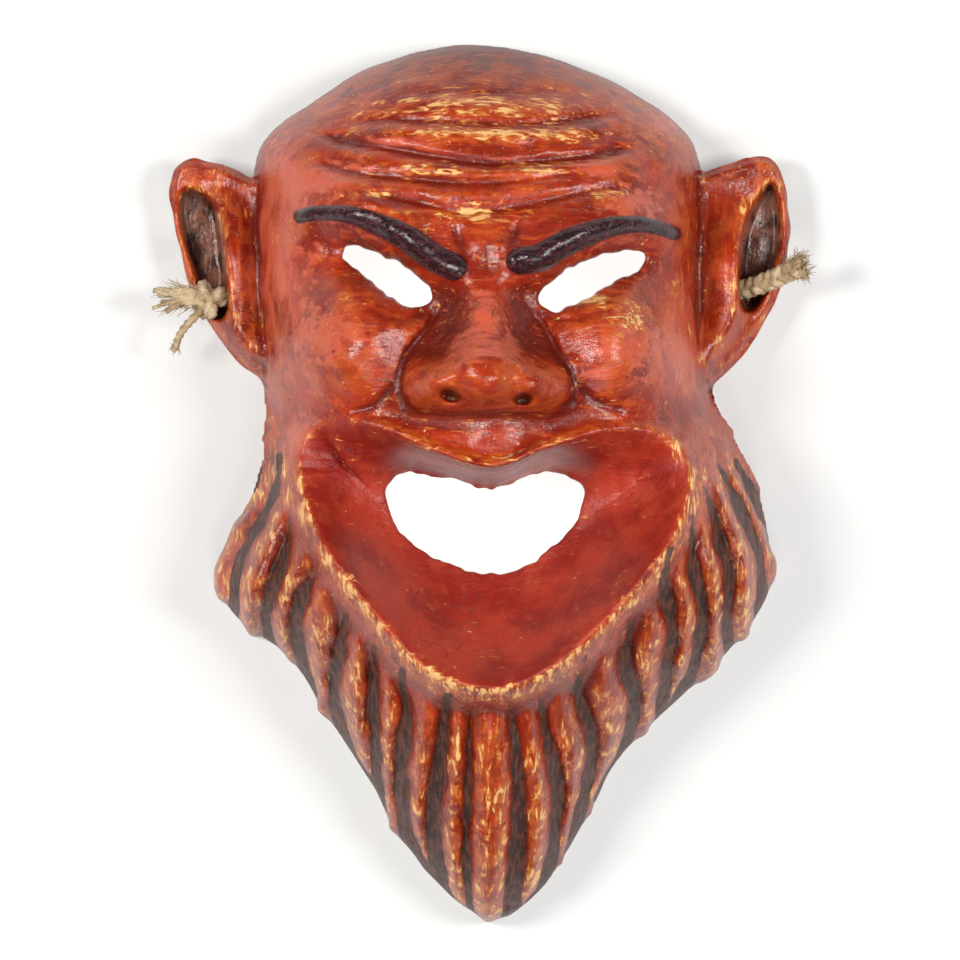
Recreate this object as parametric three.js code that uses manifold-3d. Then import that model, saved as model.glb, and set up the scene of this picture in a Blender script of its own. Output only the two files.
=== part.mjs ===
// A grotesque satyr mask of ancient comedy in painted papier-mache, lying on its back rim.
// Millimetres. +Z is out of the face, +Y towards the crown and +X towards the wearer's left.
// The back rim lies in the plane z = 0. The shell is one solid with its ears and its beard;
// a plaited jute tie goes through both ears and ends in a knot at one of them.

import * as THREE from 'three';
import { mergeVertices } from 'three/addons/utils/BufferGeometryUtils.js';
import Module from 'manifold-3d';

// ---- driving dimensions ------------------------------------------------------------------

const WALL = 4;                   // thickness of the pulp
const WALL_REACH = 6;             // how far sideways a dip in the face holds the inside down
const FEELERS = 10;               // places felt out on each circle round a point of the inside
const MOUTH = [1.4, -12];         // centre of the mouth, from which the surface fans out
const MOUTH_EDGE_HEIGHT = 50;     // height of the mouth hole's edge over the rim

// Height of the face over the rim, and how far in from the outline it is reached, down the face
const DEPTH = [[150, 66], [110, 70], [80, 75], [40, 78], [10, 80], [-20, 82], [-60, 82], [-90, 72],
  [-120, 56], [-150, 40]];
const SHOULDER = [[150, 60], [80, 58], [40, 50], [10, 52], [-20, 60], [-60, 60], [-90, 52],
  [-120, 40], [-150, 26]];
const LIP_RISE = [[20, 3], [0, 5], [-30, 8], [-70, 12]];  // how far the lip stands proud, down it

const OUTLINE = [[-2, 150], [30, 144], [58, 130.5], [73, 117], [77, 97], [77, 62], [80, 30],
  [88, 15], [96, 0], [101, -23], [100, -38], [91, -53], [78, -67], [64, -80], [49, -95], [41, -110],
  [33, -124], [23, -139], [12, -149], [4, -150.5], [-4, -148], [-18, -135.5], [-30, -120],
  [-37, -106], [-47, -90], [-56, -76], [-66, -61], [-84, -47], [-90.5, -33], [-84, -16], [-78, 0],
  [-73, 22], [-77.5, 62], [-78, 97], [-74, 117], [-57, 130.5], [-34, 144]];
const LIP = [[5, 6], [24, 13], [45, 18.5], [62, 15.5], [70.5, 3], [66, -16], [50, -38], [27, -60],
  [6, -69], [-17, -62.5], [-37, -41.5], [-52, -21], [-60, 1], [-58, 15], [-50, 21], [-34, 19.5],
  [-14, 11]];
const MOUTH_HOLE = [[4, -2], [13, 0.5], [23, 3.5], [33, 1], [35.3, -6], [29, -17.5], [14, -28.5],
  [3, -31], [-11, -27], [-24, -19.5], [-31, -7], [-30.5, 0], [-24, 3.6], [-12, 1.5]];
const EYE_HOLES = [
  [[-46, 77], [-43, 80], [-29, 75], [-19.5, 68], [-16, 62.5], [-20, 59.3], [-27.5, 61], [-36, 68],
    [-44.5, 74.5]],
  [[19.5, 62], [24, 67], [31.5, 72.6], [41.5, 76.7], [53, 78.2], [56, 76.5], [54, 72.6], [45.7, 68.5],
    [34.5, 61.4], [25, 57.6]],
];
const BROWS = [
  [[-60, 90], [-43, 90], [-27.5, 83.5], [-15, 75.5], [-9, 73]],
  [[14, 74.5], [22, 77], [34, 82.5], [46, 86.5], [58, 86.5], [66, 84]],
];

const BROW_HEIGHT = 6.5;
const BROW_SPREAD = 9;

// Soft features on the dome: centre, half width, half height and turn in degrees
const SOCKETS = [[-31, 70, 24, 11, -30], [36, 69, 24, 11, 28]];
const SOCKET_DEPTH = 9;
const CHEEKS = [[-48, 46, 19, 19], [49, 46, 19, 19]];
const CHEEK_HEIGHT = 11;
const FROWN = [3, 81, 11, 8];
const FROWN_HEIGHT = 3;
const NOSE_MIDDLE = 2;
const NOSE_HEIGHT = [[82, 0], [72, 4], [62, 9], [50, 17], [41, 25], [34, 26], [28, 18], [21, 0]];
const NOSE_HALF_WIDTH = [[76, 8], [56, 12], [40, 17], [30, 17]];
const NOSE_FLATNESS = 2.2;        // 2 is a round ridge, more is flatter on top
const NOSE_WINGS = [[-18, 33, 8.5, 8.5], [23, 32, 8.5, 8.5]];
const NOSE_WING_HEIGHT = 14;
const FULL_RELIEF_HEIGHT = 40;    // below this height of the dome the features fade out

// The lip is a rounded edge that falls away on both sides
const LIP_ROUNDING = 2;
const LIP_SLOPE = 2.6;
const FUNNEL_CURVE = 1.6;         // 1 is a straight funnel, more opens out late like a trumpet
const LOWEST_SKIN = 0.5;

const EYE_CUT_DEPTH = 140;        // the eye holes are cut straight through

// The grooves between the locks of the beard, from the left cheek round the chin to the right:
// bearing at the lip, bearing at the tip (degrees about MOUTH), where the groove starts as a share
// of that way, its bow and its wave to the side.
const GROOVES = [
  [-203, -186, 0.5, -7.5, -2.5], [-206, -159, 0.17, -6, 0], [-191, -148, 0.24, -2.5, 1.5],
  [-167, -133, 0.06, -8.5, -1], [-153, -114, 0.12, -9, 1], [-137, -110, 0.14, -1, -0.5],
  [-124, -99, 0.12, -4, 2.5], [-103, -96, 0.08, -3.5, 1.5], [-95, -92, 0.08, -0.5, 0.5],
  [-81, -86.5, 0.08, 3, -0.5], [-72, -82, 0.1, 7, -1], [-53, -76, 0.06, 5, -1],
  [-27, -66, 0.14, 5, -2], [-8, -52, 0.05, 3.5, -1], [7, -43, 0.1, 5.5, -1.5],
  [18, -31, 0.17, 7, 0.5], [26, -19, 0.27, 13.5, 0.5], [35, -7, 0.54, 18.5, 2],
  [27, 9, 0.66, 12, 1.5],
];
const GROOVE_DEPTH = 4.5;
const GROOVE_HALF_WIDTH = 2.6;
const NOTCH = 1.6;                // how far a groove nicks the outline between two lock tips

// Ears: the outer edge, and the crest of the rim in front of the hollow, from top to bottom
const EARS = [
  { side: -1,
    edge: [[-76, 103.5], [-89, 109], [-100.5, 110], [-105.5, 103], [-104, 87], [-99, 67], [-91, 52],
      [-81, 40], [-73, 34]],
    crest: [[-76, 99.5], [-85, 102], [-88, 98], [-84.5, 90], [-82.5, 76], [-82.5, 63], [-80.5, 51],
      [-77, 43], [-73, 38]] },
  { side: 1,
    edge: [[74, 105], [86, 109], [99, 111], [105, 99], [106, 82], [101, 62], [92, 47], [84, 37],
      [75, 29]],
    crest: [[74, 100.5], [83, 103], [89, 99], [87, 88], [85.5, 75], [85, 61], [82.5, 48],
      [79, 40], [75, 34]] },
];
const EAR_RIM_HEIGHT = 32;
const EAR_HOLLOW_HEIGHT = 9;
const EAR_EDGE_HEIGHT = 18;
const EAR_BACK_HEIGHT = 4;

// The jute tie: a plait through a hole at the root of each ear
const CORD_DIAMETER = 6.5;
const TIE_HOLE_RADIUS = 4.4;
const TIE_HOLES = [[-79, 62.5, 19.5], [82, 65.5, 17]];
const TIE_HOLE_LENGTH = 27;
const ROUTE = [[-85.3, 62.5, 20.2], [-78, 62.5, 19.5], [-70, 62.5, 19], [-62, 61.5, 16.2],
  [-55.5, 57, 11.2], [-52, 49, 6.6], [-52.5, 38, 3.7], [-57, 24, 3.5], [-62, 9, 3.5], [-64, -6, 3.5],
  [-60.2, -15.2, 3.5], [-51, -19, 3.5], [-41.8, -15.2, 3.5], [-38, -6, 3.5], [-35.5, 9, 3.5],
  [-27, 25, 3.5], [-11, 34, 3.5], [8, 35.5, 3.5], [26, 29.5, 3.5], [38, 15, 3.5], [42.5, -6, 3.5],
  [46.5, -15.2, 3.5], [56, -19.2, 3.5], [65.5, -15.2, 3.5], [69.5, -6, 3.5], [67, 10, 3.5],
  [61, 25, 3.5], [56, 38, 3.7], [55, 49, 6.2], [58.5, 57.5, 10.5], [65.5, 63.6, 15.2],
  [74, 65.5, 17.2], [83, 65.5, 17],
  [91, 66.3, 17.5], [98, 68.5, 20.5], [104, 71.2, 24.3], [110, 74, 26]];
const KNOT_CENTRE = [-91.5, 62.5, 21.5];
const KNOT_RADII = [5.8, 5.2, 4.8];
const TAILS = [
  { points: [[-93, 63, 22.5], [-100, 63.3, 23.7], [-107, 63.5, 24], [-112.5, 63.5, 22]], radius: 2.6 },
  { points: [[-92.5, 60.5, 21], [-97, 55.5, 22.8], [-101, 51, 22.5], [-104, 46, 19.5]], radius: 1.2 },
];

// How finely the faceted solids are divided
const COLUMNS_PER_LOCK = 4;
const FACE_COLUMNS = 38;
const FUNNEL_RINGS = 4;
const FACE_RINGS = 18;
const INSIDE_STEP = 3;            // the inside has every third ring of the outside
const FUNNEL_INSIDE_SHARES = [0.7, 0.3];
const RING_CROWDING = 0.061;      // how far the rings crowd together at the lip and the side wall
const FACE_BEND_SHARE = 1 / 8;    // share of the face's columns that still bend with the beard
const NOTCH_SHARE = 0.1;          // share of a lock's length that its notch reaches in
const RIM_WIDTH = 4.8;            // width of the rim that the mask lies on
const CURVE_TENSION = 0.5;
const OUTLINE_SAMPLES = 222;
const LIP_SAMPLES = 170;
const MOUTH_HOLE_SAMPLES = 112;
const EYE_HOLE_SAMPLES = 28;
const BROW_SAMPLES = 24;
const GROOVE_SAMPLES = 16;
const CORD_STEPS = 40;
const CORD_SIDE_SEGMENTS = 4;
const TAIL_STEPS = 6;
const TAIL_SIDE_SEGMENTS = 3;

// ---- helpers -----------------------------------------------------------------------------

const radians = (degrees) => THREE.MathUtils.degToRad(degrees);
const mix = (a, b, t) => a + (b - a) * t;

function curve(points, closed, samples) {
  const corners = points.map(([x, y, z = 0]) => new THREE.Vector3(x, y, z));
  const line = new THREE.CatmullRomCurve3(corners, closed, 'catmullrom', CURVE_TENSION).getPoints(samples);
  return closed ? line.slice(0, -1) : line;
}

// A value read from rows of [place, value], eased between them
function fromTable(rows, place) {
  const sorted = rows[0][0] > rows[1][0] ? [...rows].reverse() : rows;
  const last = sorted.length - 1;
  if (place <= sorted[0][0]) return sorted[0][1];
  if (place >= sorted[last][0]) return sorted[last][1];
  const next = sorted.findIndex(([key]) => key > place);
  const [[a, low], [b, high]] = [sorted[next - 1], sorted[next]];
  return mix(low, high, (place - a) / (b - a));
}

// Distance from (x, y) to a line of points, and the index of the nearest stretch
function nearest(line, x, y, closed) {
  let best = Infinity;
  let index = 0;
  const count = closed ? line.length : line.length - 1;
  for (let i = 0; i < count; i += 1) {
    const a = line[i];
    const b = line[(i + 1) % line.length];
    const [dx, dy] = [b.x - a.x, b.y - a.y];
    const t = THREE.MathUtils.clamp(((x - a.x) * dx + (y - a.y) * dy) / (dx * dx + dy * dy), 0, 1);
    const distance = Math.hypot(x - a.x - t * dx, y - a.y - t * dy);
    if (distance < best) {
      best = distance;
      index = i;
    }
  }
  return { distance: best, index };
}

function isInside(line, x, y) {
  let inside = false;
  line.forEach((a, i) => {
    const b = line[(i + 1) % line.length];
    if ((a.y > y) !== (b.y > y) && x < a.x + (b.x - a.x) * (y - a.y) / (b.y - a.y)) inside = !inside;
  });
  return inside;
}

// Where the ray from MOUTH at a bearing meets a closed line round it
function onRay(line, bearing) {
  const [cos, sin] = [Math.cos(bearing), Math.sin(bearing)];
  let reach = 0;
  line.forEach((a, i) => {
    const b = line[(i + 1) % line.length];
    const [ax, ay, bx, by] = [a.x - MOUTH[0], a.y - MOUTH[1], b.x - MOUTH[0], b.y - MOUTH[1]];
    const [sideA, sideB] = [ay * cos - ax * sin, by * cos - bx * sin];
    if ((sideA > 0) === (sideB > 0)) return;
    const t = sideA / (sideA - sideB);
    reach = Math.max(reach, mix(ax, bx, t) * cos + mix(ay, by, t) * sin);
  });
  return new THREE.Vector2(MOUTH[0] + reach * cos, MOUTH[1] + reach * sin);
}

// A smooth hump of height 1, wide by rx and ry, turned by a number of degrees
function hump(x, y, cx, cy, rx, ry, turn = 0) {
  const [cos, sin] = [Math.cos(radians(turn)), Math.sin(radians(turn))];
  const along = ((x - cx) * cos + (y - cy) * sin) / rx;
  const across = ((y - cy) * cos - (x - cx) * sin) / ry;
  return Math.exp(-(along * along + across * across));
}

const smoothMax = (a, b, blend) => (a + b + Math.sqrt((a - b) ** 2 + blend * blend)) / 2;

// ---- the face as a height over the rim ---------------------------------------------------

const outline = curve(OUTLINE, true, OUTLINE_SAMPLES);
const lip = curve(LIP, true, LIP_SAMPLES);
const mouthHole = curve(MOUTH_HOLE, true, MOUTH_HOLE_SAMPLES);
const brows = BROWS.map((points) => curve(points, false, BROW_SAMPLES));
const grooves = GROOVES.map(([root, tip, start, bow, wave]) => {
  const way = lockLine(root, tip, bow, wave);
  return Array.from({ length: GROOVE_SAMPLES + 1 }, (_, i) => way(mix(start, 1, i / GROOVE_SAMPLES)));
});

// The way from the lip to the outline along a lock, as a function of the share of it
function lockLine(root, tip, bow, wave) {
  const from = onRay(lip, radians(root));
  const to = onRay(outline, radians(tip));
  const aside = new THREE.Vector2(from.y - to.y, to.x - from.x).normalize();
  return (t) => from.clone().lerp(to, t)
    .addScaledVector(aside, bow * Math.sin(Math.PI * t) + wave * Math.sin(2 * Math.PI * t));
}

// The plain dome that carries the features
function dome(x, y) {
  if (!isInside(outline, x, y)) return 0;
  const t = Math.min(nearest(outline, x, y, true).distance / fromTable(SHOULDER, y), 1);
  return fromTable(DEPTH, y) * Math.sqrt(1 - (1 - t) ** 2);
}

const humps = (rows, x, y) => rows.reduce((sum, row) => sum + hump(x, y, ...row), 0);

function nose(x, y) {
  const across = Math.abs(x - NOSE_MIDDLE) / fromTable(NOSE_HALF_WIDTH, y);
  const ridge = fromTable(NOSE_HEIGHT, y) * Math.exp(-(across ** NOSE_FLATNESS));
  return ridge + NOSE_WING_HEIGHT * humps(NOSE_WINGS, x, y);
}

function brow(x, y) {
  const distance = Math.min(...brows.map((line) => nearest(line, x, y, false).distance));
  return BROW_HEIGHT * Math.exp(-((distance / BROW_SPREAD) ** 2));
}

function features(x, y) {
  return CHEEK_HEIGHT * humps(CHEEKS, x, y) - SOCKET_DEPTH * humps(SOCKETS, x, y)
    + FROWN_HEIGHT * hump(x, y, ...FROWN) + brow(x, y) + nose(x, y);
}

function beard(x, y) {
  const distance = Math.min(...grooves.map((line) => nearest(line, x, y, false).distance));
  return -GROOVE_DEPTH * Math.exp(-((distance / GROOVE_HALF_WIDTH) ** 2));
}

const lipHeights = lip.map(({ x, y }) => dome(x, y) + fromTable(LIP_RISE, y));

// Height of the outside over the rim, the mouth's trumpet included
function relief(x, y) {
  const toLip = nearest(lip, x, y, true);
  const lipHeight = lipHeights[toLip.index];
  const rounded = Math.hypot(toLip.distance, LIP_ROUNDING) - LIP_ROUNDING;
  if (!isInside(lip, x, y)) {
    const plain = dome(x, y);
    if (plain <= 0) return 0;
    const fade = Math.min(plain / FULL_RELIEF_HEIGHT, 1);
    const skin = plain + fade * (features(x, y) + beard(x, y));
    const flank = lipHeight - LIP_SLOPE * rounded;
    return Math.max(smoothMax(skin, flank, LIP_ROUNDING) - LIP_ROUNDING / 4, LOWEST_SKIN);
  }
  if (isInside(mouthHole, x, y)) return MOUTH_EDGE_HEIGHT;
  const inward = rounded / (rounded + nearest(mouthHole, x, y, true).distance);
  return mix(MOUTH_EDGE_HEIGHT, lipHeight, (1 - inward) ** FUNNEL_CURVE);
}

// Height of the inside: the outside set back by the wall, felt out on two circles
function hollow(x, y) {
  let lowest = relief(x, y) - WALL;
  [0.5, 1].forEach((share) => {
    const drop = WALL * Math.sqrt(1 - share * share);
    for (let i = 0; i < FEELERS; i += 1) {
      const bearing = (i + share) * 2 * Math.PI / FEELERS;
      const reach = WALL_REACH * share;
      const [u, v] = [x + reach * Math.cos(bearing), y + reach * Math.sin(bearing)];
      lowest = Math.min(lowest, relief(u, v) - drop);
    }
  });
  return Math.max(lowest, 0);
}

// ---- the shell -----------------------------------------------------------------------------

// One column of the surface for each way from the lip to the outline
function columns() {
  const list = [];
  for (let k = 0; k + 1 < GROOVES.length; k += 1) {
    for (let i = 0; i < COLUMNS_PER_LOCK; i += 1) {
      const t = i / COLUMNS_PER_LOCK;
      const [root, tip, , bow, wave] = GROOVES[k].map((value, j) => mix(value, GROOVES[k + 1][j], t));
      list.push({ root, tip, bow, wave, notch: NOTCH * Math.cos(Math.PI * t) ** 2 });
    }
  }
  const [first, last] = [GROOVES[0], GROOVES[GROOVES.length - 1]];
  for (let i = 0; i < FACE_COLUMNS; i += 1) {
    const t = i / FACE_COLUMNS;
    const bend = Math.max(1 - t / FACE_BEND_SHARE, 0);
    const bendBack = Math.max(1 - (1 - t) / FACE_BEND_SHARE, 0);
    list.push({
      root: mix(last[0], first[0] + 360, t),
      tip: mix(last[1], first[1] + 360, t),
      bow: bend * last[3] + bendBack * first[3],
      wave: bend * last[4] + bendBack * first[4],
      notch: i === 0 ? NOTCH : 0,
    });
  }
  return list;
}

// Shares of the way from the lip to the outline: close together at the lip and at the side wall
function ringShare(i) {
  const s = i / FACE_RINGS;
  return s - RING_CROWDING * Math.sin(2 * Math.PI * s) * (0.6 + 0.9 * s);
}

function geometryFrom(points, triangles) {
  const geometry = new THREE.BufferGeometry();
  geometry.setAttribute('position', new THREE.Float32BufferAttribute(points.flat(), 3));
  geometry.setIndex(triangles);
  return geometry;
}

// Strips of two triangles between rings of equal length; every ring closes on itself
function closedRings(rings) {
  const width = rings[0].length;
  const triangles = [];
  rings.forEach((_, j) => {
    const next = (j + 1) % rings.length;
    for (let i = 0; i < width; i += 1) {
      const [a, b] = [j * width + i, j * width + (i + 1) % width];
      const [c, d] = [next * width + i, next * width + (i + 1) % width];
      triangles.push(a, c, b, b, c, d);
    }
  });
  return geometryFrom(rings.flat(), triangles);
}

// A ring of the outside, or of the inside, over a row of places
const outsideRing = (places) => places.map(({ x, y }) => [x, y, relief(x, y)]);
const insideRing = (places) => places.map(({ x, y }) => [x, y, hollow(x, y)]);

// A place on a column, pulled in towards the mouth near the outline where two locks meet
function notched(way, notch, share) {
  const point = way(share);
  const inward = new THREE.Vector2(...MOUTH).sub(point).normalize();
  return point.addScaledVector(inward, notch * Math.max(1 - (1 - share) / NOTCH_SHARE, 0));
}

// The outline moved in by the rim's width
function rimInside(rim) {
  return rim.map((point, i) => {
    const before = rim[(i + rim.length - 1) % rim.length];
    const after = rim[(i + 1) % rim.length];
    const inward = new THREE.Vector2(before.y - after.y, after.x - before.x).normalize();
    return point.clone().addScaledVector(inward, RIM_WIDTH);
  });
}

// Rings from the mouth hole up the funnel, out to the rim, and back along the inside
function shellGeometry() {
  const ways = columns();
  const lines = ways.map(({ root, tip, bow, wave }) => lockLine(root, tip, bow, wave));
  const holeEdge = ways.map(({ root }) => onRay(mouthHole, radians(root)));
  const funnel = (share) => lines.map((way, i) => holeEdge[i].clone().lerp(way(0), share));
  const skin = (share) => lines.map((way, i) => notched(way, ways[i].notch, share));
  const rings = [];
  for (let j = 0; j <= FUNNEL_RINGS; j += 1) rings.push(outsideRing(funnel(j / FUNNEL_RINGS)));
  for (let j = 1; j < FACE_RINGS; j += 1) rings.push(outsideRing(skin(ringShare(j))));
  const rim = skin(1);
  const innerRim = rimInside(rim);
  rings.push(rim.map(({ x, y }) => [x, y, 0]), innerRim.map(({ x, y }) => [x, y, 0]));
  for (let j = FACE_RINGS - 1; j > 0; j -= j === FACE_RINGS - 1 ? 1 : INSIDE_STEP) {
    const share = ringShare(j);
    rings.push(insideRing(lines.map(
      (way, i) => way(0).lerp(innerRim[i], share).lerp(way(share), 0.5 * (1 - share)),
    )));
  }
  FUNNEL_INSIDE_SHARES.forEach((share) => rings.push(insideRing(funnel(share))));
  rings.push(holeEdge.map(({ x, y }) => [x, y, MOUTH_EDGE_HEIGHT - WALL]));
  return closedRings(rings);
}

// ---- ears ----------------------------------------------------------------------------------

const EAR_STATIONS = 13;
const EAR_ROOT = 74.3;            // how far from the middle an ear starts, inside the side wall
const EAR_ROOT_GAP = 1.5;         // least distance between that start and the crest
const EAR_END_HEIGHT = 16;        // height of an ear where its two ends meet the head
const EAR_FULLNESS = 2.2;         // how soon the ear reaches its full section from either end

// An ear's section from its root over the front rim, the hollow and the edge to its back:
// [from, to, share between them, height, whether that height fades out at the ear's two ends]
const EAR_SECTION = [
  ['root', 'crest', 0, 18, false], ['root', 'crest', 0.4, 19, false],
  ['root', 'crest', 0.75, 28, true], ['root', 'crest', 1, EAR_RIM_HEIGHT, true],
  ['crest', 'edge', 0.2, EAR_HOLLOW_HEIGHT + 3, true], ['crest', 'edge', 0.45, EAR_HOLLOW_HEIGHT, true],
  ['crest', 'edge', 0.75, EAR_HOLLOW_HEIGHT + 1, true], ['crest', 'edge', 0.9, EAR_EDGE_HEIGHT, true],
  ['crest', 'edge', 1, EAR_EDGE_HEIGHT - 6, true], ['crest', 'edge', 0.9, EAR_BACK_HEIGHT + 3, false],
  ['crest', 'edge', 0.6, EAR_BACK_HEIGHT, false], ['root', 'crest', 0, EAR_BACK_HEIGHT, false],
];

function earGeometry({ side, edge, crest }) {
  const edgeLine = curve(edge, false, EAR_STATIONS - 1);
  const crestLine = curve(crest, false, EAR_STATIONS - 1);
  const points = [];
  edgeLine.forEach((edgePoint, i) => {
    const crestPoint = crestLine[i];
    const rootX = side * Math.min(EAR_ROOT, Math.abs(crestPoint.x) - EAR_ROOT_GAP);
    const rootPoint = new THREE.Vector3(rootX, crestPoint.y, 0);
    const station = { root: rootPoint, crest: crestPoint, edge: edgePoint };
    const fullness = Math.min(Math.sin(Math.PI * i / (EAR_STATIONS - 1)) * EAR_FULLNESS, 1);
    EAR_SECTION.forEach(([from, to, share, height, fades]) => {
      const { x, y } = station[from].clone().lerp(station[to], share);
      points.push([x, y, fades ? mix(EAR_END_HEIGHT, height, fullness) : height]);
    });
  });
  const width = EAR_SECTION.length;
  const triangles = [];
  const triangle = (a, b, c) => triangles.push(...(side > 0 ? [a, b, c] : [a, c, b]));
  for (let j = 0; j + 1 < EAR_STATIONS; j += 1) {
    for (let i = 0; i < width; i += 1) {
      const [a, b] = [j * width + i, j * width + (i + 1) % width];
      triangle(a, a + width, b);
      triangle(b, a + width, b + width);
    }
  }
  const last = (EAR_STATIONS - 1) * width;
  for (let i = 1; i + 1 < width; i += 1) {
    triangle(0, i, i + 1);
    triangle(last, last + i + 1, last + i);
  }
  return geometryFrom(points, triangles);
}

// ---- booleans ------------------------------------------------------------------------------

const wasm = await Module();
wasm.setup();

function toSolid(geometry) {
  const bare = geometry.clone();
  bare.deleteAttribute('normal');
  bare.deleteAttribute('uv');
  const merged = mergeVertices(bare, 1e-4);
  return new wasm.Manifold(new wasm.Mesh({
    numProp: 3,
    vertProperties: new Float32Array(merged.attributes.position.array),
    triVerts: new Uint32Array(merged.index.array),
  }));
}

function toGeometry(solid) {
  const { vertProperties, triVerts } = solid.getMesh();
  const geometry = new THREE.BufferGeometry();
  geometry.setAttribute('position', new THREE.BufferAttribute(vertProperties, 3));
  geometry.setIndex(new THREE.BufferAttribute(triVerts, 1));
  geometry.computeVertexNormals();
  return geometry;
}

function eyeCutter(points) {
  const corners = curve(points, true, EYE_HOLE_SAMPLES).map(({ x, y }) => new THREE.Vector2(x, y));
  const shape = new THREE.Shape(corners);
  const settings = { depth: EYE_CUT_DEPTH, bevelEnabled: false, steps: 1 };
  return toSolid(new THREE.ExtrudeGeometry(shape, settings));
}

function tieHoleCutter([x, y, z]) {
  const cylinder = new THREE.CylinderGeometry(TIE_HOLE_RADIUS, TIE_HOLE_RADIUS, TIE_HOLE_LENGTH, 16);
  return toSolid(cylinder.rotateZ(Math.PI / 2).translate(x, y, z));
}

function maskGeometry() {
  let mask = toSolid(shellGeometry());
  EARS.forEach((ear) => {
    mask = mask.add(toSolid(earGeometry(ear)));
  });
  EYE_HOLES.forEach((points) => {
    mask = mask.subtract(eyeCutter(points));
  });
  TIE_HOLES.forEach((centre) => {
    mask = mask.subtract(tieHoleCutter(centre));
  });
  return toGeometry(mask);
}

// ---- the tie -------------------------------------------------------------------------------

function tube(points, radius, steps, sides) {
  const path = new THREE.CatmullRomCurve3(points.map((point) => new THREE.Vector3(...point)));
  const section = new THREE.Shape();
  section.absarc(0, 0, radius, 0, 2 * Math.PI, false);
  return new THREE.ExtrudeGeometry(section, { steps, extrudePath: path, curveSegments: sides });
}

// The knot and its two loose ends, clear of the edge of the ear
function knotGeometry() {
  const ball = new THREE.SphereGeometry(1, 12, 8).scale(...KNOT_RADII).translate(...KNOT_CENTRE);
  return toGeometry(TAILS.reduce(
    (knot, { points, radius }) => knot.add(toSolid(tube(points, radius, TAIL_STEPS, TAIL_SIDE_SEGMENTS))),
    toSolid(ball),
  ));
}

// ---- the object ----------------------------------------------------------------------------

const pulp = new THREE.MeshStandardMaterial({ color: 0xb5402a, roughness: 0.45, metalness: 0 });
const jute = new THREE.MeshStandardMaterial({ color: 0xb59a72, roughness: 0.9, metalness: 0 });

function piece(name, geometry, material) {
  const mesh = new THREE.Mesh(geometry, material);
  mesh.name = name;
  return mesh;
}

const object = new THREE.Group();
object.add(
  piece('mask', maskGeometry(), pulp),
  piece('tie_cord', tube(ROUTE, CORD_DIAMETER / 2, CORD_STEPS, CORD_SIDE_SEGMENTS), jute),
  piece('tie_knot', knotGeometry(), jute),
);

export default object;
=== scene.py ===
import math

import bpy
import numpy as np
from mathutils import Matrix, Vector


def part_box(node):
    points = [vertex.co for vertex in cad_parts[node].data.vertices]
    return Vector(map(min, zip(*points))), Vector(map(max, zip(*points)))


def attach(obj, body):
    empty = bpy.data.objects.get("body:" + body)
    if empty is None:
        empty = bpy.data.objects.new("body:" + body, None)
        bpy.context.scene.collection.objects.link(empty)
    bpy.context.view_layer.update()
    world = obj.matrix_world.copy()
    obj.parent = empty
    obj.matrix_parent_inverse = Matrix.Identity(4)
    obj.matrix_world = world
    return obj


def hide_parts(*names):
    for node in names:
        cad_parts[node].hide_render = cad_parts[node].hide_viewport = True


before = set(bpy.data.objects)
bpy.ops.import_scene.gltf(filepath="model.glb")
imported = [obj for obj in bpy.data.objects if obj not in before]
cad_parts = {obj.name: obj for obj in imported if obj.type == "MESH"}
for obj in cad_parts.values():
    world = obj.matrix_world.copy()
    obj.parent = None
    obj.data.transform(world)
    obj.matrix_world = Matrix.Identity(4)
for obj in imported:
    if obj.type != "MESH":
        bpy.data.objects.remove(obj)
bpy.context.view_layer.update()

import openvdb
from mathutils import Vector

# A grotesque satyr mask of ancient comedy in painted papier-mache, with a plaited jute tie.
# It lies on its back rim, face up. Shapes are worked out in millimetres and made in metres.

MM = 0.001
VOXEL = 0.72  # grid step of the moulded shell
SHELL_TRIANGLES = 190_000  # what the shell is thinned to
MARGIN = 8.0  # what the grid has to spare round the mask
rng = np.random.RandomState(7)

# ---- the shell (mm) ----

WALL = 4.0
DEPTH = [(-150, 40), (-120, 56), (-90, 72), (-60, 82), (-20, 82), (10, 80), (40, 78), (80, 75),
         (110, 70), (150, 66)]
SHOULDER = [(-150, 26), (-120, 40), (-90, 52), (-60, 60), (-20, 60), (10, 52), (40, 50), (80, 58),
            (150, 60)]
LIP_RISE = [(-70, 12), (-30, 8), (0, 5), (20, 3)]

OUTLINE = [(-2, 150), (30, 144), (58, 130.5), (73, 117), (77, 97), (77, 62), (80, 30), (88, 15),
           (96, 0), (101, -23), (100, -38), (91, -53), (78, -67), (64, -80), (49, -95), (41, -110),
           (33, -124), (23, -139), (12, -149), (4, -150.5), (-4, -148), (-18, -135.5), (-30, -120),
           (-37, -106), (-47, -90), (-56, -76), (-66, -61), (-84, -47), (-90.5, -33), (-84, -16),
           (-78, 0), (-73, 22), (-77.5, 62), (-78, 97), (-74, 117), (-57, 130.5), (-34, 144)]
LIP = [(5, 6), (24, 13), (45, 18.5), (62, 15.5), (70.5, 3), (66, -16), (50, -38), (27, -60),
       (6, -69), (-17, -62.5), (-37, -41.5), (-52, -21), (-60, 1), (-58, 15), (-50, 21),
       (-34, 19.5), (-14, 11)]
MOUTH_EDGE_HEIGHT = 50.0
MOUTH_HOLE = [(4, -2), (13, 0.5), (23, 3.5), (33, 1), (35.3, -6), (29, -17.5), (14, -28.5), (3, -31),
              (-11, -27), (-24, -19.5), (-31, -7), (-30.5, 0), (-24, 3.6), (-12, 1.5)]
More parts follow.
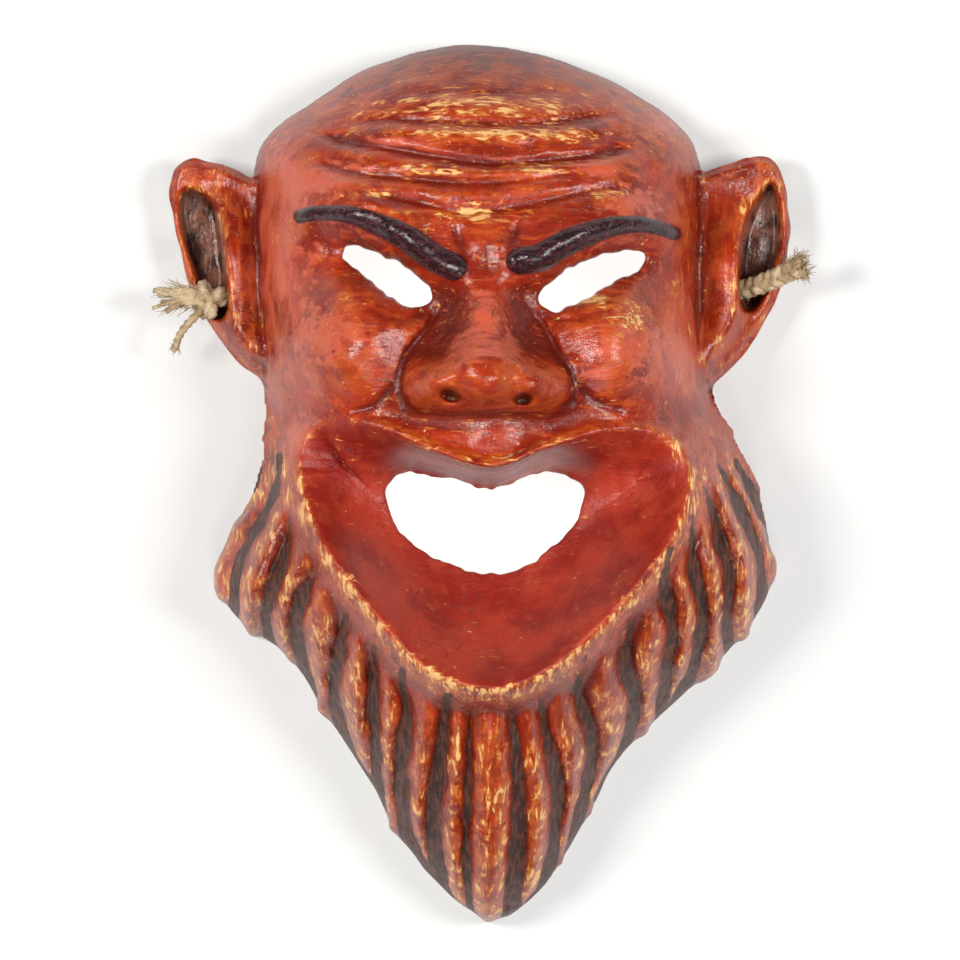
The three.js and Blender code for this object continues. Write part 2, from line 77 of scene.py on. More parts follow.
EYE_HOLES = [
    [(-46, 77), (-43, 80), (-29, 75), (-19.5, 68), (-16, 62.5), (-20, 59.3), (-27.5, 61), (-36, 68),
     (-44.5, 74.5)],
    [(19.5, 62), (24, 67), (31.5, 72.6), (41.5, 76.7), (53, 78.2), (56, 76.5), (54, 72.6),
     (45.7, 68.5), (34.5, 61.4), (25, 57.6)],
]
BROWS = [
    [(-60.5, 90), (-54, 91), (-43, 90), (-33, 86.5), (-24, 82), (-15, 75.5), (-8.5, 72.5)],
    [(13.5, 74.5), (20, 75.5), (27, 79.5), (36, 83.5), (46, 86.5), (56, 87), (66, 84.5)],
]
# Grooves between the locks of the beard: half width at the middle, then the line from the lip out
GROOVES = [
    (1.5, [(-73.7, 10.6), (-76.7, 0), (-84, -8)]),
    (2.0, [(-67.5, 9.5), (-69.2, -3.1), (-78.1, -19.8), (-82.2, -29), (-84, -48)]),
    (2.2, [(-63.4, -13.3), (-67.9, -29.7), (-72.3, -45), (-70, -60)]),
    (2.1, [(-52.9, -25.9), (-60.4, -39.9), (-62.4, -52.5), (-57.3, -72)]),
    (2.4, [(-44.7, -43.6), (-47.7, -58.3), (-49.1, -74.7), (-44, -92.4), (-36, -108)]),
    (2.0, [(-35.5, -54.6), (-35.8, -74.7), (-34.8, -101.6), (-33.5, -114)]),
    (2.6, [(-25.9, -63.1), (-24.9, -80.1), (-26.6, -101.6), (-24.2, -121.1), (-16, -137)]),
    (2.8, [(-10.9, -72), (-13.3, -93.8), (-15.7, -113.2), (-14.7, -128.9), (-10, -146)]),
    (1.5, [(-3.4, -75), (-3.8, -101.6), (-4.4, -125.1), (-2.5, -152)]),
    (2.8, [(10.6, -73.3), (12.6, -93.8), (13.3, -113.2), (12.6, -132.6), (9, -152)]),
    (2.3, [(20.5, -72.6), (22.8, -85.9), (26.6, -101.6), (25.9, -117.3), (23.5, -132.6), (18, -146)]),
    (2.1, [(35.8, -57.6), (33.4, -69.9), (36.5, -81.2), (38.5, -92), (35.5, -107), (31, -126)]),
    (2.7, [(51.2, -47.1), (49.4, -62.1), (52.5, -73.7), (50.1, -89), (42, -108)]),
    (2.2, [(64.1, -22.5), (62.4, -35.5), (65.5, -50.8), (63.1, -66.2), (61.7, -82)]),
    (2.3, [(71.3, -11.3), (72.3, -28), (75.4, -43.3), (73, -62.1), (67, -76)]),
    (2.1, [(76, -1.4), (80.8, -16.7), (84.6, -31.7), (83.9, -48), (86, -60)]),
    (2.2, [(80.8, 6.1), (90, -11.3), (95.8, -28), (96, -47)]),
    (1.7, [(87, 7.8), (94.5, -6.8), (101, -21)]),
    (1.1, [(88.3, 14), (97, 3)]),
]
LOCK_HEIGHT = 5.4
LOCK_HALF_WIDTH = 6.4
# Folds across the forehead: the line of the crease, and its depth
WRINKLES = [
    ([(-48, 121), (-36, 122.5), (1, 121.3), (11, 120.8), (31, 122.5), (51, 125.5)], 1.3),
    ([(-60, 121), (-54, 118), (-29, 112.5), (-9, 109), (4, 107.5), (21, 108.5), (41, 111),
      (58, 115)], 1.8),
    ([(-60, 111.5), (-46, 105), (-23, 102.5), (-9, 101), (6, 101.5), (21, 103), (38, 105.5)], 1.4),
    ([(-45, 100), (-23, 95), (-3, 91), (17, 94), (38, 98.5), (56, 101)], 1.0),
    ([(-30, 133), (0, 131.5), (34, 133)], 0.5),
]
EARS = [
    {"side": -1,
     "edge": [(-76, 103.5), (-89, 109), (-100.5, 110), (-105.5, 103), (-104, 87), (-99, 67),
              (-91, 52), (-81, 40), (-73, 34)],
     "crest": [(-101.5, 99), (-97.5, 101), (-93, 99), (-88.5, 93), (-86, 81), (-84.8, 68),
               (-84.2, 59), (-81, 51), (-76, 45)],
     "hollow": [(-102, 99), (-97.5, 100.5), (-93, 98), (-89, 92), (-87, 80), (-85.8, 68),
                (-85.8, 59), (-88.5, 55.5), (-93.5, 59.5), (-97, 70), (-100.8, 81), (-103, 92)]},
    {"side": 1,
     "edge": [(74, 105), (86, 109), (99, 111), (105, 99), (106, 82), (101, 62), (92, 47), (84, 37),
              (75, 29)],
     "crest": [(99, 103), (96, 101), (92.5, 96.5), (88, 87), (86.5, 77), (86.8, 64), (84.5, 54),
               (79, 46), (75, 40)],
     "hollow": [(99, 102.5), (95, 97.5), (90.8, 88), (88.8, 76), (88.6, 64), (90.5, 58.5), (95.5, 60.5),
                (100, 70), (103, 80), (103.2, 91), (101.6, 100)]},
]
# Places rubbed down to the ochre ground, and places of pink paint and of painted highlights: centre, half
# width, half height
RUBBED = [(0, 127.5, 42, 4.5), (12, 118, 48, 2.6), (-22, 105.5, 15, 2.6), (18, 105.5, 14, 2.6),
          (-2, 91, 13, 4), (-36, 97, 8, 2), (44, 97, 9, 2.5), (66, 12, 4, 4),
          (38, 62, 10, 3), (50, 55, 8, 6)]
PINK_AND_HIGHLIGHTS = [(2, 57, 6, 11), (3, 20, 20, 4), (-68, 85, 9, 34), (-31, 115, 11, 3), (-50, 103, 15, 6),
        (41, 106, 11, 3), (53, 94, 11, 6), (-6, 46, 7, 5), (10, 45, 6, 4), (-50, 50, 13, 10),
        (50, 46, 15, 10), (-84, -33, 6, 14), (62, 122, 8, 6), (-60, 15, 8, 10), (70, 50, 6, 20)]
TIE_HOLES = [(-79, 62.5, 19.5), (82, 65.5, 17)]
TIE_HOLE_RADIUS = 4.4
CORD_DIAMETER = 6.5
ROUTE = [(-85.3, 62.5, 20.2), (-78, 62.5, 19.5), (-70, 62.5, 19), (-62, 61.5, 16.2),
         (-55.5, 57, 11.2), (-52, 49, 6.6), (-52.5, 38, 3.7), (-57, 24, 3.5), (-62, 9, 3.5),
         (-64, -6, 3.5), (-60.2, -15.2, 3.5), (-51, -19, 3.5), (-41.8, -15.2, 3.5), (-38, -6, 3.5),
         (-35.5, 9, 3.5), (-27, 25, 3.5), (-11, 34, 3.5), (8, 35.5, 3.5), (26, 29.5, 3.5),
         (38, 15, 3.5), (42.5, -6, 3.5), (46.5, -15.2, 3.5), (56, -19.2, 3.5), (65.5, -15.2, 3.5),
         (69.5, -6, 3.5), (67, 10, 3.5), (61, 25, 3.5), (56, 38, 3.7), (55, 49, 6.2),
         (58.5, 57.5, 10.5), (65.5, 63.6, 15.2), (74, 65.5, 17.2), (83, 65.5, 17), (91, 66.3, 17.5),
         (98, 68.5, 20.5), (104, 71.2, 24.3), (110, 74, 26)]
KNOT_CENTRE = np.array([-91.5, 62.5, 21.5])
KNOT_RADII = np.array([3.1, 3.3, 2.1])
PLAIT_PERIOD = 12.0
STRAND_RADIUS = 1.7
PLAIT_SWING = CORD_DIAMETER / 2 - STRAND_RADIUS + 0.3
PLAIT_LIFT = 1.0
PLY_RELIEF = 0.16  # depth of a strand's own twist, as a share of its radius
STRAND_STEP = 0.55  # length of a mesh step on strands, and on thinner fibres
FIBRE_STEP = 1.1
THIN_STRAND = 0.6
FIBRE_POINTS = 7
SKEWED_UP = (0.13, 0.21, 1)  # a direction that no strand runs along
FRAY_FIBRES = 190
FRAY_HALF_WIDTH = 2.9
FRAY_HALF_HEIGHT = 1.9
TAIL_STRANDS = 8
TAIL_FIBRES = 110
TIP_FIBRES = 24
THIN_TAIL = [(-1, -1, 1), (-5.5, -6, 2), (-9.5, -10.5, 1.6), (-12, -15.5, -0.8), (-12.8, -17.5, -1.5)]
THIN_TAIL_TIP = np.array([-11.5, -14.5, -0.8])

# ---- forms of the face (mm) ----
# A form is a height and the humps that share it. A hump is a centre, two half widths, and where
# they aren't 0 and 2 its turn in degrees and how flat its top is

FLESH = [
    (-9, [(-31, 70, 24, 10, -32), (37, 69, 24, 10, 29)]),  # eye sockets
    (12.5, [(-47, 46, 19, 18, 0, 2.4), (49, 46, 19, 18, 0, 2.4)]),  # cheeks
    (2.2, [(-33, 58, 16, 5, -30), (40, 59, 16, 5, 24)]),  # bags under the eyes
]
FROWN = [(3.5, [(3, 82, 9, 6)]), (-2, [(-6, 80, 2, 7, 20)]), (-2, [(11, 81, 2, 7, -20)])]
PHILTRUM = [(2.5, [(5, 17, 6, 5)]), (-1.5, [(-22, 22, 14, 3, -12)])]
NOSE_MIDDLE = 2
NOSE_HEIGHT = [(22, 0), (25.5, 15), (30, 26), (35, 30), (42, 28), (50, 19), (62, 10), (72, 4), (82, 0)]
NOSE_HALF_WIDTH = [(28, 17), (40, 15.5), (52, 11), (64, 8), (76, 8)]
NOSE_FORMS = [
    (16, [(-17.5, 33.5, 8.5, 8, 0, 2.6), (22, 32.5, 8.5, 8, 0, 2.6)]),  # wings
    (3, [(-6, 40, 7, 5), (13, 40, 7, 5), (3, 32, 8, 5)]),  # lobes of the tip
    (3, [(2, 57, 7, 9)]),  # bridge
    (-9, [(-10, 29.3, 4.2, 2.1, -14, 3), (14.8, 28, 3.6, 1.8, 8, 3)]),  # nostrils
]
# Folds beside the nose and under the eyes: the line, and its depth
FOLDS = [
    ([(-12, 62), (-17, 53), (-23.5, 44), (-27, 35), (-25, 27), (-20, 24)], 2.4),
    ([(16, 60), (22, 52), (26, 44), (31, 36), (31, 28), (26, 24)], 2.4),
    ([(-27, 35), (-34, 27), (-44, 23)], 1.6),
    ([(31, 36), (38, 28), (50, 24)], 1.6),
    ([(-14, 59), (-27, 55), (-40, 60)], 1.2),
    ([(18, 57), (32, 55), (46, 60)], 1.2),
]
FOLD_HALF_WIDTH = 1.4
WRINKLE_HALF_WIDTH = 1.6
WRINKLE_SWELL = (0.7, 4, 2.8)  # the flesh below a wrinkle: share of its depth, place, width
WRINKLE_DEPTH = 1.4  # what every wrinkle's depth is multiplied by
BROW_SWELL = (6, 8.5)  # height and half width of the flesh under the hair
BROW_HALF_WIDTH = (2.2, 2.0)  # half width of the hair at its thin end, and what it gains
BROW_HAIR_HEIGHT = 2.4
LIP_ROUND = 2  # radius of the lip's crest
LIP_SLOPE = 2.6  # fall of the trumpet's outside for each mm out
FUNNEL_CURVE = 1.55
EDGE_FADE = 40  # dome height at which the forms reach their full size
LOCK_TIP = (0.9, 2.2, 2.6)  # how far a lock's tip stands out, and the notches' depth, width

# Hand-made unevenness: the height of the lumps, and their size
GROOVE_LUMPS = (0.35, 2.2)
EDGE_LUMPS = (0.15, 3)
SKIN_LUMPS = (0.5, 5)
SKIN_GRAIN = (0.26, 1.8)
MOUTH_CUT_LUMPS = (0.3, 1.2)
EYE_CUT_LUMPS = (0.25, 1.0)
EAR_EDGE_LUMPS = (0.25, 2.5)
EAR_LUMPS = (0.3, 2.5)

# The ears: heights over the rim, and the half widths of what stands on them
EAR_ROOT = 72.5
EAR_PLATE = 17.0
EAR_HOLLOW = 9.0
EAR_CREST = 13.5  # how far the crest stands over the plate
EAR_CREST_FALL = (4.5, 12.0)  # outwards and inwards
EAR_RIM = (1.8, 3, 2.4)  # height, place in from the edge, half width
EAR_EDGE_FALL = (2.5, 1.6)
EAR_BACK = (14.5, 10.5, 7)  # height at the edge, how far it swells, over what width

# How far edges are rounded where two surfaces of the shell meet
EAR_SEAM = 2.0
EAR_SEAM_TRIM = 0.02  # takes back what that seam adds far from it
RIM_ROUND = 0.8
HOLE_ROUND = 0.9
CAVITY_ROUND = 1.2
TIE_HOLE_REACH = 13.5
FIELD_LIMIT = 4.0
STEEPEST = 20  # gradient past which a height's distance isn't corrected

# What counts as raised or sunk for the painted highlight on raised parts, the painted shade in creases
# and the worn paint: fine detail, and broad swellings
DETAIL_SIZE = 3.0
DETAIL_HEIGHT = 1.6
SWELL_SIZE = 7.0
SWELL_HEIGHT = 9

# ---- stage (m) ----

CAMERA_DISTANCE = 4.0
CAMERA_OFFSET = 0.0012  # towards the crown, from the middle of the shell
FRAME_WIDTH = 0.3274  # metres across the picture, at FRAME_HEIGHT over the rim
FRAME_HEIGHT = 0.018
SENSOR = 0.036
FLOOR_HALF_WIDTH = 3
FLOOR_GLOW = 0.34  # the floor glows a little, and the pad under the face more
PAD_GLOW = 0.9
PAD_SHARE = 0.86  # the pad's outline as a share of the mask's
PAD_HEIGHT = 0.0001
SHEET_COLOUR = (0.5, 0.5, 0.49, 1)
SHEET_ROUGHNESS = 0.9
SKY_COLOUR = (0.95, 0.97, 1, 1)
SKY_STRENGTH = 0.12
LAMP_TARGET = Vector((0, 0, 0.05))
# Name, place, width and height, power in watts, and tint of each lamp
LAMPS = [
    ("left", (-0.95, 0.2, 1.4), (0.42, 0.5), 23.5, (1, 0.985, 0.96)),
    ("right", (0.95, 0.1, 1.35), (0.42, 0.5), 19, (1, 1, 1)),
    ("low", (0.1, -1.0, 1.5), (0.5, 0.3), 6, (1, 1, 1)),
]


# ---- curves and distances ----

def spline(points, closed, per=10):
    """Catmull-Rom points through the given ones."""
    p = np.array(points, float)
    if closed:
        p = np.vstack([p[-1], p, p[:2]])
    else:
        p = np.vstack([2 * p[0] - p[1], p, 2 * p[-1] - p[-2]])
    t = (np.arange(per) / per)[:, None]
    parts = []
    for a, b, c, d in zip(p[:-3], p[1:-2], p[2:-1], p[3:]):
        parts.append(0.5 * (2 * b + (c - a) * t + (2 * a - 5 * b + 4 * c - d) * t ** 2
                            + (3 * b - a - 3 * c + d) * t ** 3))
    if not closed:
        parts.append(p[-2:-1])
    return np.vstack(parts)


def distance_to(x, y, line, closed=False):
    """Distance to a line, the share along it, and on which side of it the place is."""
    q = np.vstack([line, line[:1]]) if closed else line
    steps = np.diff(q, axis=0)
    lengths = np.hypot(steps[:, 0], steps[:, 1])
    starts = np.concatenate([[0], np.cumsum(lengths)])
    best = np.full(x.shape, 1e9, np.float32)
    along = np.zeros(x.shape, np.float32)
    side = np.zeros(x.shape, np.float32)
    for (qx, qy), (dx, dy), length, start in zip(q[:-1], steps, lengths, starts):
        ax, ay = x - qx, y - qy
        t = np.clip((ax * dx + ay * dy) / max(length * length, 1e-9), 0, 1)
        d = (ax - t * dx) ** 2 + (ay - t * dy) ** 2
        near = d < best
        best[near] = d[near]
        along[near] = ((start + t * length) / starts[-1])[near]
        side[near] = (dx * ay - dy * ax)[near]
    return np.sqrt(best), along, np.sign(side)


def is_inside(x, y, line):
    inside = np.zeros(x.shape, bool)
    for (x0, y0), (x1, y1) in zip(line, np.roll(line, -1, axis=0)):
        if y0 != y1:
            inside ^= ((y0 > y) != (y1 > y)) & (x < (x1 - x0) * (y - y0) / (y1 - y0) + x0)
    return inside


def depth_inside(x, y, line):
    """Distance to a closed line, negative outside it."""
    d = distance_to(x, y, line, True)[0]
    return np.where(is_inside(x, y, line), d, -d)


def read(rows, value):
    keys, values = zip(*rows)
    return np.interp(value, keys, values)


def hump(x, y, cx, cy, rx, ry, turn=0.0, power=2.0):
    cos, sin = math.cos(math.radians(turn)), math.sin(math.radians(turn))
    along = ((x - cx) * cos + (y - cy) * sin) / rx
    across = ((y - cy) * cos - (x - cx) * sin) / ry
    return np.exp(-np.hypot(along, across) ** power)


def ease(value, low, high):
    t = np.clip((value - low) / (high - low), 0, 1)
    return t * t * (3 - 2 * t)


def smooth_max(a, b, blend):
    return (a + b + np.sqrt((a - b) ** 2 + blend * blend)) / 2


def blur(field, sigma):
    """Gaussian blur with a sigma in millimetres."""
    pad = int(4 * sigma / VOXEL) + 2
    wide = np.pad(field, pad, mode="edge")
    fx = np.fft.fftfreq(wide.shape[0])[:, None]
    fy = np.fft.rfftfreq(wide.shape[1])[None, :]
    gain = np.exp(-2 * (math.pi * sigma / VOXEL) ** 2 * (fx ** 2 + fy ** 2))
    soft = np.fft.irfft2(np.fft.rfft2(wide) * gain, s=wide.shape)
    return soft[pad:-pad, pad:-pad].astype(np.float32)


def unevenness(height, size):
    """Smooth lumps of about that size, whose standard deviation is the height."""
    field = blur(rng.standard_normal(X.shape), size)
    return height * (field / field.std())


# ---- the face as a height over the rim ----

low, high = [np.array(corner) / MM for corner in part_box("mask")]
xs = np.arange(low[0] - MARGIN, high[0] + MARGIN, VOXEL)
ys = np.arange(low[1] - MARGIN, high[1] + MARGIN, VOXEL)
zs = np.arange(-3 * VOXEL, high[2] + MARGIN, VOXEL)
X, Y = [grid.astype(np.float32) for grid in np.meshgrid(xs, ys, indexing="ij")]

outline = spline(OUTLINE, True, 6)
lip = spline(LIP, True, 8)
mouth_hole = spline(MOUTH_HOLE, True, 8)
eye_holes = [spline(points, True, 5) for points in EYE_HOLES]


def swell(forms, height=0):
    """The height with the forms on it."""
    for size, humps in forms:
        height = height + size * sum(hump(X, Y, *row) for row in humps)
    return height


def nose():
    half_width = read(NOSE_HALF_WIDTH, Y)
    profile = np.exp(-np.abs((X - NOSE_MIDDLE) / half_width) ** 2.6)
    return swell(NOSE_FORMS, blur(read(NOSE_HEIGHT, Y), 1.0) * profile)


def fading_ends(along, share):
    return ease(along, 0, share) * ease(1 - along, 0, share)


def folds():
    """Depth of the folds beside the nose and under the eyes."""
    depth = np.zeros(X.shape)
    for points, deep in FOLDS:
        d, along, _ = distance_to(X, Y, spline(points, False))
        line = np.exp(-(d / FOLD_HALF_WIDTH) ** 2)
        depth = np.maximum(depth, deep * fading_ends(along, 0.15) * line)
    return depth


def wrinkled(skin):
    """The skin with the folds across the forehead pressed into it."""
    share, place, width = WRINKLE_SWELL
    for points, depth in WRINKLES:
        d, along, side = distance_to(X, Y, spline(points, False))
        below = -side * d
        crease = -np.exp(-(d / WRINKLE_HALF_WIDTH) ** 2)
        crease = crease + share * np.exp(-((below - place) / width) ** 2)
        skin = skin + WRINKLE_DEPTH * depth * fading_ends(along, 0.12) * crease
    return skin


def brows():
    """Height of the flesh under the eyebrows, height of their hair, and where the hair is."""
    swelling, hair, hair_height = np.zeros((3, *X.shape))
    thin, gain = BROW_HALF_WIDTH
    for points in BROWS:
        d, along, _ = distance_to(X, Y, spline(points, False))
        inner = along if points[0][0] < 0 else 1 - along
        half = thin + gain * ease(inner, 0.05, 0.85)
        swelling = np.maximum(swelling, BROW_SWELL[0] * np.exp(-(d / BROW_SWELL[1]) ** 2))
        hair = np.maximum(hair, np.clip(1.5 - d / half, 0, 1))
        hair_height = np.maximum(hair_height, np.sqrt(np.clip(1 - (d / half / 1.1) ** 2, 0, 1)))
    return swelling, BROW_HAIR_HEIGHT * hair_height, ease(hair, 0, 1)


def beard_gap():
    """Distance from the nearest groove of the beard, negative in it."""
    gap = np.full(X.shape, 1e9, np.float32)
    for half_width, points in GROOVES:
        d, along, _ = distance_to(X, Y, spline(points, False, 6))
        gap = np.minimum(gap, d - half_width * (0.35 + 0.65 * ease(along, 0, 0.35)))
    return gap + unevenness(*GROOVE_LUMPS)


def depth_from_edge(gap, locks):
    """Distance in from the outline, which each lock's tip passes a little."""
    reach, notch, notch_width = LOCK_TIP
    notches = notch * np.exp(-(np.maximum(gap, 0) / notch_width) ** 2)
    edge = depth_inside(X, Y, outline) + locks * (reach - notches)
    return blur(edge, 0.9) + unevenness(*EDGE_LUMPS)


def locks_depth(gap, share):
    """How deep the beard lies under the crests of its locks."""
    t = 1 - np.clip(gap / LOCK_HALF_WIDTH, 0, 1)
    return share * LOCK_HEIGHT * (1 - np.sqrt(1 - t * t) * 0.85) * ease(gap, 12, 5)


def lip_crest(dome, along):
    """Height of the lip's crest nearest to each place."""
    lip_x, lip_y = lip[:, 0], lip[:, 1]
    ix = np.clip(((lip_x - xs[0]) / VOXEL).astype(int), 0, len(xs) - 1)
    iy = np.clip(((lip_y - ys[0]) / VOXEL).astype(int), 0, len(ys) - 1)
    crest = dome[ix, iy] + read(LIP_RISE, lip_y)
    steps = np.hypot(*np.diff(np.vstack([lip, lip[:1]]), axis=0).T)
    shares = np.concatenate([[0], np.cumsum(steps)])
    return np.interp(along, shares / shares[-1], np.append(crest, crest[0]))


def trumpet(skin, crest, to_lip, to_hole):
    """The mouth: its outside leans on the face, its inside narrows to the hole."""
    rounded = np.hypot(to_lip, LIP_ROUND) - LIP_ROUND
    outside = smooth_max(skin, crest - LIP_SLOPE * rounded, 2) - 0.4
    inward = rounded / (rounded + np.maximum(-to_hole, 0) + 1e-6)
    funnel = MOUTH_EDGE_HEIGHT + (crest - MOUTH_EDGE_HEIGHT) * (1 - inward) ** FUNNEL_CURVE
    funnel = np.where(to_hole > 0, MOUTH_EDGE_HEIGHT, funnel)
    return np.where(is_inside(X, Y, lip), funnel, outside)


def rubbed_places(to_lip):
    """How far the paint is rubbed off: along the lip's crest and in the listed places."""
    lip_wear = 0.35 + 0.4 * hump(X, Y, 6, 10, 30, 14) + 0.3 * hump(X, Y, 0, -66, 34, 12)
    rubbed = lip_wear * np.exp(-(to_lip / 1.7) ** 2)
    for row in RUBBED:
        rubbed = np.maximum(rubbed, hump(X, Y, *row))
    return rubbed


def dome_over(edge):
    """Height of the plain dome: steep at its shoulder and level in the middle."""
    t = np.clip(edge / read(SHOULDER, Y), 0, 1)
    return read(DEPTH, Y) * np.sqrt(1 - (1 - t) ** 2)


def carve_face():
    """The 2-D fields: heights and the places of everything painted."""
    f = {}
    gap = beard_gap()
    f["groove"] = 1 - ease(gap, -1.3, 0.9)
    locks = ease(-Y + 0.15 * np.abs(X), -16, 4)
    edge = depth_from_edge(gap, locks)
    f["edge"] = edge
    dome = dome_over(edge)
    fade = np.clip(dome / EDGE_FADE, 0, 1)

    brow, hair_height, f["hair"] = brows()
    fold_depth = folds()
    flesh = swell(FLESH) + swell(FROWN) + swell(PHILTRUM) + brow + nose() - fold_depth
    skin = wrinkled(dome + fade * flesh + hair_height)
    skin = skin - locks_depth(gap, locks * fade)

    to_lip, along, _ = distance_to(X, Y, lip, True)
    to_hole = depth_inside(X, Y, mouth_hole)
    height = trumpet(skin, lip_crest(dome, along), to_lip, to_hole)
    f["mouth"] = ease(np.where(is_inside(X, Y, lip), to_lip, -to_lip), -0.8, 1.2)
    lumps = unevenness(*SKIN_LUMPS) + unevenness(*SKIN_GRAIN)
    height = height + fade * lumps * (1 - 0.5 * f["mouth"])
    f["height"] = np.where(edge > 0, np.maximum(height, 0), 0).astype(np.float32)

    f["rubbed"] = rubbed_places(to_lip)
    # pink paint, and painted highlights on the forehead, cheeks and nose
    f["pink"] = sum(hump(X, Y, *row) for row in PINK_AND_HIGHLIGHTS)
    # painted shade: darker at the crown and along the folds beside the nose and under the eyes
    f["wine"] = hump(X, Y, 5, 146, 42, 14) + 0.5 * np.clip(fold_depth / 3, 0, 1) * (1 - f["mouth"])
    f["to_hole"] = to_hole + unevenness(*MOUTH_CUT_LUMPS)
    eyes = np.maximum(depth_inside(X, Y, eye_holes[0]), depth_inside(X, Y, eye_holes[1]))
    f["eyes"] = eyes + unevenness(*EYE_CUT_LUMPS)
    f["inner"] = set_back(blur(f["height"], 1.0))
    return f


def set_back(height):
    """Height of the inside: a ball of the wall's radius rolled along under the outside."""
    reach = int(WALL / VOXEL) + 1
    rows, columns = height.shape
    wide = np.pad(height, reach)
    lowest = np.full(height.shape, 1e9, np.float32)
    for i in range(2 * reach + 1):
        for j in range(2 * reach + 1):
            gap = WALL ** 2 - ((i - reach) ** 2 + (j - reach) ** 2) * VOXEL ** 2
            if gap >= 0:
                lowest = np.minimum(lowest, wide[i:i + rows, j:j + columns] - math.sqrt(gap))
    return np.maximum(lowest, 0)


def ear_front(ear, to_edge):
    """Height of an ear's front, how much of its bowl each place is in, and how worn it is."""
    to_crest, along, side = distance_to(X, Y, spline(ear["crest"], False, 6))
    fall = np.where(side * ear["side"] > 0, *EAR_CREST_FALL)
    crest_rise = EAR_CREST * ease(along, 0.08, 0.5) * np.exp(-(to_crest / fall) ** 2)
    rim_height, rim_place, rim_width = EAR_RIM
    rim = rim_height * np.exp(-((to_edge - rim_place) / rim_width) ** 2)
    front = blur(EAR_PLATE + crest_rise + rim, 0.9)
    cup = ease(depth_inside(X, Y, spline(ear["hollow"], True, 6)), -0.9, 2.4)
    front = front + (EAR_HOLLOW - front) * cup
    drop, drop_width = EAR_EDGE_FALL
    front = front - drop * np.exp(-(to_edge / drop_width) ** 2) + unevenness(*EAR_LUMPS)
    worn = 0.7 * np.exp(-(to_crest / 1.6) ** 2) + 0.4 * np.exp(-((to_edge - 2) / 1.5) ** 2)
    return front, ease(cup, 0.2, 0.65), worn


def carve_ear(ear):
    """An ear's fields: where it is, its front and back, its bowl and its worn places."""
    edge = spline(ear["edge"], False, 6)
    root_x = EAR_ROOT * ear["side"]
    whole = np.vstack([edge, [[root_x, edge[-1][1]], [root_x, edge[0][1]]]])
    inside = depth_inside(X, Y, whole) + unevenness(*EAR_EDGE_LUMPS)
    to_edge = distance_to(X, Y, edge)[0]
    front, hollow, worn = ear_front(ear, to_edge)
    back_edge, back_swell, back_width = EAR_BACK
    t = 1 - np.clip(to_edge / back_width, 0, 1)
    back = back_edge - back_swell * np.sqrt(np.clip(1 - t ** 2, 0, 1))
    return {"inside": inside, "front": front, "back": back, "hollow": hollow, "worn": worn,
            "steep": steepness(front)}


def steepness(height):
    gx, gy = np.gradient(height, VOXEL)
    return np.sqrt(1 + np.minimum(gx ** 2 + gy ** 2, STEEPEST ** 2))


def pulp_at(z, f, steep, inner_steep, ears):
    """One level of the field that is negative inside the pulp."""
    solid = np.maximum((z - f["height"]) / steep, -f["edge"])
    for ear in ears:
        leaf = np.maximum((z - ear["front"]) / ear["steep"], ear["back"] - z)
        leaf = np.maximum(leaf, -ear["inside"])
        solid = -smooth_max(-solid, -leaf, EAR_SEAM) + EAR_SEAM_TRIM
    solid = smooth_max(solid, -(z - f["inner"]) / inner_steep, CAVITY_ROUND)
    solid = smooth_max(solid, np.maximum(f["to_hole"], f["eyes"]), HOLE_ROUND)
    for hx, hy, hz in TIE_HOLES:
        bore = TIE_HOLE_RADIUS - np.hypot(Y - hy, z - hz)
        solid = np.maximum(solid, np.minimum(bore, TIE_HOLE_REACH - np.abs(X - hx)))
    return smooth_max(solid, -z, RIM_ROUND)


def mould(f, ears):
    """The shell's points and faces."""
    steep, inner_steep = steepness(f["height"]), steepness(f["inner"])
    field = np.empty((len(xs), len(ys), len(zs)), np.float32)
    for level, z in enumerate(zs.astype(np.float32)):
        field[:, :, level] = pulp_at(z, f, steep, inner_steep, ears)
    field = np.clip(field, -FIELD_LIMIT, FIELD_LIMIT)
    grid = openvdb.FloatGrid(background=FIELD_LIMIT)
    grid.copyFromArray(field)
    points, triangles, quads = grid.convertToPolygons(isovalue=0.0, adaptivity=0.0)
    points = points * VOXEL + np.array([xs[0], ys[0], zs[0]])
    return points, quads.tolist() + triangles.tolist()


def sample(field, points):
    """A 2-D field's value at each point, seen from the front."""
    u = np.clip((points[:, 0] - xs[0]) / VOXEL, 0, len(xs) - 1.001)
    v = np.clip((points[:, 1] - ys[0]) / VOXEL, 0, len(ys) - 1.001)
    i, j = u.astype(int), v.astype(int)
    s, t = u - i, v - j
    return ((field[i, j] * (1 - s) + field[i + 1, j] * s) * (1 - t)
            + (field[i, j + 1] * (1 - s) + field[i + 1, j + 1] * s) * t)


def add_object(name, data):
    made = bpy.data.objects.new(name, data)
    bpy.context.scene.collection.objects.link(made)
    return made


def mesh_object(name, points, faces):
    mesh = bpy.data.meshes.new(name)
    mesh.from_pydata((np.asarray(points) * MM).tolist(), [], faces)
    mesh.validate()
    mesh.update()
    mesh.shade_smooth()
    return add_object(name, mesh)


def thin_out(piece, triangles):
    """Collapse edges until the piece has that many triangles."""
    count = sum(len(p.vertices) - 2 for p in piece.data.polygons)
    if count > triangles:
        thin = piece.modifiers.new("thin", "DECIMATE")
        thin.ratio = triangles / count
        bpy.context.view_layer.update()
        depsgraph = bpy.context.evaluated_depsgraph_get()
        mesh = bpy.data.meshes.new_from_object(piece.evaluated_get(depsgraph))
        piece.modifiers.clear()
        old = piece.data
        piece.data = mesh
        bpy.data.meshes.remove(old)
        piece.data.name = piece.name
        piece.data.shade_smooth()


